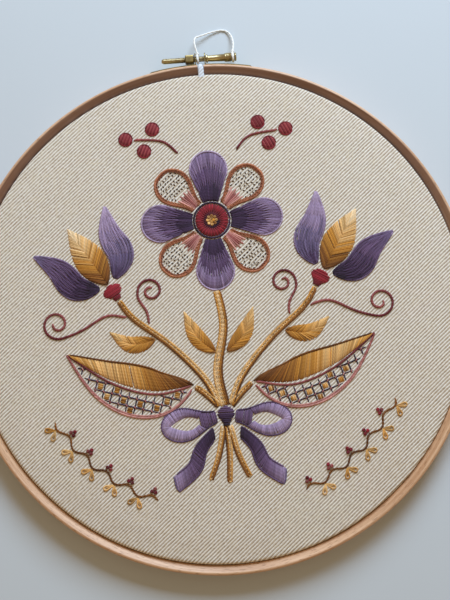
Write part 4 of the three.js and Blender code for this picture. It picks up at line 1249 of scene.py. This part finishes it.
def trellis(hand, chance):
    """Crossed threads over the bare half, tied down where they meet, with gold in every other window."""
    lows, highs = [], []
    middle = np.array(TRELLIS_MIDDLE) * (hand, 1) + (0, DESIGN_RAISE)
    axes = rays(hand * TRELLIS_TURN + np.array([-pi / 4, pi / 4]))

    def shades(codes, count):
        """Dyes drawn anywhere along a run of shades."""
        return dye(codes, chance.uniform(0, 1, count), chance)

    for along, over in (axes, axes[::-1]):
        for step in TRELLIS_LINES:
            run = middle + over * step * TRELLIS_PITCH + along * TRELLIS_SWEEP
            change = np.diff(np.concatenate([[0], inside_half(run, hand, LINE_CLEAR).astype(int), [0]]))
            for first, last in zip(np.flatnonzero(change == 1), np.flatnonzero(change == -1)):
                if last - first > TRELLIS_LEAST:
                    lows.append(run[first])
                    highs.append(run[last - 1])
    threads = shades(PURPLES[:2], len(lows))
    batches = [lay(np.array(lows), np.array(highs), TRELLIS_LIFT, threads, TRELLIS_WOOL)]
    grid = np.array([(a, b) for a in TRELLIS_LINES for b in TRELLIS_LINES])
    crossings = middle + TRELLIS_PITCH * grid @ axes
    crossings = crossings[inside_half(crossings, hand, CROSS_CLEAR)]
    tie = CROSS_HALF * unit(axes[0] + axes[1])
    ties = shades([ROSE, PINK], len(crossings))
    batches.append(lay(crossings - tie, crossings + tie, CROSS_LIFT, ties, CROSS_WOOL))
    windows = middle + TRELLIS_PITCH * (grid[grid.sum(axis=1) % 2 == 0] + 0.5) @ axes
    windows = windows[inside_half(windows, hand, WINDOW_CLEAR)]
    half = WINDOW_HALF * axes[1]
    for shift in WINDOW_SHIFTS:
        spots = windows + axes[0] * shift
        golds = shades([OCHRE, GOLD, STRAW], len(spots))
        batches.append(lay(spots - half, spots + half, WINDOW_LIFT, golds))
    return batches


for side, hand in SIDES:
    chance = np.random.default_rng(LEAF_SEED + hand)
    place, length = blade(BIG_LEAF, BIG_LEAF_WIDTH, leaf_width, hand)
    count = round(length / STITCH_PITCH)
    u = np.linspace(FILL_FROM, FILL_TO, count) + chance.normal(0, STITCH_WANDER / count, count)
    shades = dye(GOLDS[:4] + [GOLD], u + chance.normal(0, SHADE_WANDER, count), chance)
    lifts = FILL_LIFT + chance.normal(0, BONE_WANDER, count)
    filled = [lay(place(u, EDGE_SHARE), place(u - FILL_LEAN, RIB_SHARE), lifts, shades)]
    filled += edge_rows(place, [OCHRE, BROWN], chance, (FILL_EDGE,))
    stitched(f"big_leaf_{side}_filled", filled, "gold_wool")
    edge = np.linspace(BARE_FROM, BARE_TO, 200)
    bare = [
        stem_stitch(place(edge, -EDGE_SHARE), [ROSE, PINK, ROSE], chance),
        stem_stitch(place(edge, INNER_LINE), [PINK, ROSE], chance, lift=TRELLIS_LIFT, width=EDGE_WOOL),
        stem_stitch(place(edge, RIB_LINE), [ROSE, MAROON], chance),
    ]
    stitched(f"big_leaf_{side}_open", bare + trellis(hand, chance), "rose_wool")
    for k, knots in enumerate(SMALL_LEAVES):
        place, length = blade(knots, SMALL_LEAF_WIDTH, leaf_width, hand)
        small = fishbone(place, length, [OCHRE, GOLD, STRAW], chance, SMALL_LEAN)
        stitched(f"small_leaf_{side}_{k + 1}", small, "gold_wool")

# The tendrils and sprigs: single lines of rose stem stitch. The tendrils leave the side stems and coil in
# on themselves, and each sprig by the flower carries three crimson berries of padded satin stitch.
TENDRILS = [
    ([(47.8, -4), (58, -2.5), (71, -9)], (84, -5), 8.0, -115, 1.35),
    ([(36.5, -8), (37, -2), (41, 5)], (34.5, 9), 7.0, -10, 1.35),
]
COIL_STEPS, COIL_END, SPRIG_SEED = 14, 0.25, 51
SPRIG = [(15.5, 81), (23, 88), (38, 90)]
BERRIES = [(42.4, 90.4), (28, 95), (33, 83.4)]
BERRY_RADIUS, BERRY_STITCHES, BERRY_TURN = 3.6, 9, radians(25)
BERRY_LIFT, BERRY_PAD, BERRY_FILL = 0.35, 0.45, 0.9
BERRY_SHADE, BERRY_SHADE_STEP = 0.2, 0.55


def tendril_line(lead, centre, radius, start, turns):
    """A lead-in run that winds on into a shrinking coil."""
    points = list(lead)
    for k in range(COIL_STEPS + 1):
        t = k / COIL_STEPS
        angle = radians(start) + tau * turns * t
        reach = radius * (1 - (1 - COIL_END) * t)
        points.append((centre[0] + reach * cos(angle), centre[1] + reach * sin(angle)))
    return smooth_line(points, 300) + (0, DESIGN_RAISE)


def rope(line, codes, chance):
    """A bold single line of stem stitch."""
    return stem_stitch(line, codes, chance, step=1.25, reach=2.8, slant=0.34, lift=0.5, width=1.0)


def berry(spot, hand, chance):
    """Satin stitch over padding, with a ring of stem stitch round it."""
    out = np.array([cos(BERRY_TURN), hand * sin(BERRY_TURN)])
    shift = np.linspace(-BERRY_FILL, BERRY_FILL, BERRY_STITCHES) * BERRY_RADIUS
    reach = np.sqrt(BERRY_RADIUS**2 - shift**2)[:, None]
    half = reach * left_of(out)
    middle = spot + shift[:, None] * out
    crown = BERRY_LIFT + BERRY_PAD * reach[:, 0] / BERRY_RADIUS
    share = np.arange(BERRY_STITCHES) % 2 * BERRY_SHADE_STEP + BERRY_SHADE
    shades = dye([MAROON, CRIMSON, ROSE], share, chance)
    rim = spot + BERRY_RADIUS * rays(np.linspace(0, tau, 60))
    return [
        lay(middle - half, middle + half, crown, shades),
        stem_stitch(rim, [MAROON, CRIMSON], chance, step=1.2, reach=2.2, width=0.6),
    ]


for side, hand in SIDES:
    chance = np.random.default_rng(SPRIG_SEED + hand)
    for k, tendril in enumerate(TENDRILS):
        line = tendril_line(*tendril) * (hand, 1)
        stitched(f"tendril_{side}_{k + 1}", [rope(line, [ROSE, MAROON, ROSE], chance)], "rose_wool")
    line = (smooth_line(SPRIG, 120) + (0, DESIGN_RAISE)) * (hand, 1)
    stitched(f"sprig_{side}", [rope(line, [MAROON, ROSE], chance)], "rose_wool")
    for k, (x, y) in enumerate(BERRIES):
        spot = np.array([hand * x, y + DESIGN_RAISE])
        stitched(f"berry_{side}_{k + 1}", berry(spot, hand, chance), "crimson_wool")

# The bow: a ribbon tied round the stems, its loops in lilac satin stitch about a bare slit, its tails in
# purple satin stitch, and a knot of purple satin stitch over the stems.
BOW_KNOT, KNOT_WIDTH, KNOT_PITCH = [(0, -63), (0, -58), (0, -53.6)], 9.0, 0.66
BOW_LOOP, LOOP_WIDTH, LOOP_PITCH = [(5.2, -58.6), (18, -61), (33.5, -62.5)], 17.0, 0.72
LOOP_SLIT, SLIT_WIDTH = [(13, -60.2), (20, -61.2), (29, -62)], 7.0
LOOP_STITCHES, LOOP_FOOT, FOOT_LAP, RIM_WANDER = 76, 0.24, 0.04, 0.25
EVEN_OVER, KNOT_LIFT = 3, 0.8
BOW_TAIL, TAIL_WIDTH, TAIL_PITCH = [(5.6, -65.5), (14, -74.5), (18, -84), (29, -92)], 8.0, 0.54
TAIL_LEAN, TAIL_EDGE, TAIL_FROM, TAIL_TO = 0.1, 0.98, 0.06, 0.95
TAIL_EDGE_FROM, TAIL_EDGE_TO, TAIL_CUT = 0.01, 0.98, 0.97
BOW_KNOT_SEED, BOW_SEED = 61, 71


def ribbon_width(u):
    """Share of a ribbon's width, which opens towards its cut end."""
    return 0.55 + 0.45 * np.sin(pi * u / 2)


def bow_loop(hand, chance):
    """Satin stitch across the loop's foot, then fanned from its edge in to the slit."""
    place, length = blade(BOW_LOOP, LOOP_WIDTH, petal_width, hand)
    slit, _ = blade(LOOP_SLIT, SLIT_WIDTH, leaf_width, hand)
    codes = PURPLES[2:] + [LILAC]
    u = LOOP_FOOT + (1 - LOOP_FOOT) * (1 - np.cos(np.linspace(0, pi, 200))) / 2
    edge = np.vstack([place(u, 1.0), place(u[::-1], -1.0)])
    around = np.linspace(0, length_of(edge), LOOP_STITCHES)
    rim = along_line(edge, around + chance.normal(0, RIM_WANDER, LOOP_STITCHES))
    shares = np.linspace(0, 1, 100)
    lip = np.vstack([slit(shares, 1.0), slit(shares, -1.0)])
    nearest = ((rim[:, None] - lip[None]) ** 2).sum(axis=2).argmin(axis=1)
    padded = np.pad(lip[nearest], ((EVEN_OVER, EVEN_OVER), (0, 0)), mode="edge")
    window = np.ones(2 * EVEN_OVER + 1) / (2 * EVEN_OVER + 1)
    ends = np.column_stack([np.convolve(column, window, "valid") for column in padded.T])
    share = np.hypot(*(rim - rim[0]).T) / length
    lifts = FILL_LIFT + chance.normal(0, SATIN_WANDER, LOOP_STITCHES)
    foot = np.linspace(0, LOOP_FOOT, 20)
    outline = np.vstack([place(foot, 1.0), edge, place(foot[::-1], -1.0)])
    return [
        *satin(place, length, codes[:1], chance, 0.0, LOOP_FOOT + FOOT_LAP, LOOP_PITCH, reach=SATIN_REACH),
        lay(rim, ends, lifts, dye(codes, share, chance)),
        stem_stitch(outline, [PURPLES[1], PURPLES[2], PURPLES[1]], chance, width=0.7),
    ]


def bow_tail(hand, chance):
    """Slanting satin stitch in four shades, edged on both sides and across its cut end."""
    place, length = blade(BOW_TAIL, TAIL_WIDTH, ribbon_width, hand)
    batches = satin(place, length, PURPLES, chance, TAIL_FROM, TAIL_TO, TAIL_PITCH, TAIL_LEAN)
    batches += edge_rows(place, PURPLES[1:3], chance, (TAIL_EDGE,), TAIL_EDGE_FROM, TAIL_EDGE_TO - TAIL_LEAN)
    batches += edge_rows(place, PURPLES[1:3], chance, (-TAIL_EDGE,), TAIL_EDGE_FROM + TAIL_LEAN, 1.0)
    across = np.linspace(TAIL_EDGE, -TAIL_EDGE, 30)
    cut_end = place(TAIL_CUT - TAIL_LEAN * across / 2, across)
    batches.append(stem_stitch(cut_end, [SLATE, SLATE], chance, width=EDGE_WOOL))
    return batches


chance = np.random.default_rng(BOW_KNOT_SEED)
place, length = blade(BOW_KNOT, KNOT_WIDTH, petal_width)
knot = satin(place, length, PURPLES[:3], chance, 0.0, SATIN_END, KNOT_PITCH, lift=KNOT_LIFT)
stitched("bow_knot", knot, "purple_wool")
for side, hand in SIDES:
    chance = np.random.default_rng(BOW_SEED + hand)
    stitched(f"bow_loop_{side}", bow_loop(hand, chance), "lilac_wool")
    stitched(f"bow_tail_{side}", bow_tail(hand, chance), "purple_wool")

# The garlands: a waving line of ochre stem stitch in each lower corner of the design, with looped gold
# leaves along its outer side and crimson knots in the bends of its inner side.
GARLAND_REACH, GARLAND_WAVE, GARLAND_BENDS, GARLAND_SEED = 101.0, 1.8, 5, 81
GARLAND_FROM, GARLAND_TO = radians(-30), radians(-68)
GARLAND_LEAF, GARLAND_SPREAD, LEAF_ROOT, LEAF_WIDE = 5.4, radians(38), 0.5, 2.3
VEIN_FROM, VEIN_TO, VEIN_SHADE, VEIN_LIFT, VEIN_WOOL = 0.3, 0.8, 0.8, 0.35, 0.7
KNOT_SIZE, KNOT_SPOTS = 1.5, ((1.6, -1.0), (1.6, 1.0), (3.3, 0.0))


def garland_ways(share, hand):
    """Directions from the hoop's middle to shares along a garland."""
    return rays(GARLAND_FROM + (GARLAND_TO - GARLAND_FROM) * share) * (hand, 1)


for side, hand in SIDES:
    chance = np.random.default_rng(GARLAND_SEED + hand)
    t = np.linspace(0, 1, 240)
    reach = GARLAND_REACH + GARLAND_WAVE * np.sin(tau * GARLAND_BENDS * t)
    line = reach[:, None] * garland_ways(t, hand)
    batches = [stem_stitch(line, [OCHRE, BROWN, OCHRE], chance, width=FINE_WOOL)]
    crest = (np.arange(GARLAND_BENDS) + 0.25) / GARLAND_BENDS
    out = garland_ways(crest, hand)
    roots = (GARLAND_REACH + GARLAND_WAVE + LEAF_ROOT) * out
    for lean in (-GARLAND_SPREAD, GARLAND_SPREAD):
        leaves = GARLAND_LEAF * (cos(lean) * out + sin(lean) * left_of(out))
        shades = dye([GOLD, STRAW], chance.uniform(0, 1, GARLAND_BENDS), chance)
        batches.append(loop_stitches(roots, roots + leaves, LEAF_WIDE, shades, width=FINE_WOOL))
        vein_from, vein_to = roots + VEIN_FROM * leaves, roots + VEIN_TO * leaves
        batches.append(lay(vein_from, vein_to, VEIN_LIFT, VEIN_SHADE * shades, VEIN_WOOL))
    inward = garland_ways(crest + 0.5 / GARLAND_BENDS, hand)
    beside = left_of(inward)
    spots = [
        (GARLAND_REACH - GARLAND_WAVE - depth) * inward + aside * beside
        for depth, aside in KNOT_SPOTS
    ]
    batches.append(french_knots(np.vstack(spots), [CRIMSON, MAROON, ROSE], chance, KNOT_SIZE))
    stitched(f"garland_{side}", batches, "gold_wool", padded=False)

# The table and the light: a plain pale table top, one broad cool light from beyond the picture's top and
# a little to its right, and a little warm light from all round.
TABLE_SIZE, TABLE_DROP, TABLE_PALE = 3.0, 0.1 * MM, "ccd4d9"
LIGHT_SWING, LIGHT_RISE = radians(13), radians(37)
LIGHT_DISTANCE, LIGHT_SIZE = 1.2, 0.64
LIGHT_POWER, LIGHT_COLOUR = 18.1, (0.65, 0.81, 1.0)
ROOM_COLOUR, ROOM_STRENGTH = (1.0, 0.74, 0.46), 0.37


def table_finish():
    """A dull painted top, faintly mottled."""
    finish = Finish("pale_table")
    tone = finish.calc("MULTIPLY_ADD", finish.noise(finish.spot(), 9.0, 3.0), 0.06, 0.97)
    pale = finish.add("RGB", {})
    pale.default_value = (*colour_of(TABLE_PALE), 1)
    return finish.done({
        "Base Color": finish.scale(pale, tone),
        "Roughness": 0.95,
        "Specular IOR Level": 0.1,
    })


half = TABLE_SIZE / 2
table_mesh = bpy.data.meshes.new("table_top")
table_corners = [(-half, -half, 0), (half, -half, 0), (half, half, 0), (-half, half, 0)]
table_mesh.from_pydata(table_corners, [], [(0, 1, 2, 3)])
table_mesh.materials.append(table_finish())
table = put("table_top", table_mesh)
table.location.z = -TABLE_DROP

light = bpy.data.lights.new("window_light", "AREA")
light.size = LIGHT_SIZE
light.energy = LIGHT_POWER
light.color = LIGHT_COLOUR
light_way = cos(LIGHT_RISE) * (cos(LIGHT_SWING) * picture_up + sin(LIGHT_SWING) * picture_right)
light_way += sin(LIGHT_RISE) * table_up
lamp = put("window_light", light)
lamp.location = Vector((0, hoop_y, 0)) + LIGHT_DISTANCE * light_way
lamp.rotation_mode = "QUATERNION"
lamp.rotation_quaternion = light_way.to_track_quat("Z", "Y")

room = bpy.data.worlds.new("room")
room.use_nodes = True
backdrop = room.node_tree.nodes["Background"].inputs
backdrop["Color"].default_value = (*ROOM_COLOUR, 1)
backdrop["Strength"].default_value = ROOM_STRENGTH
bpy.context.scene.world = room
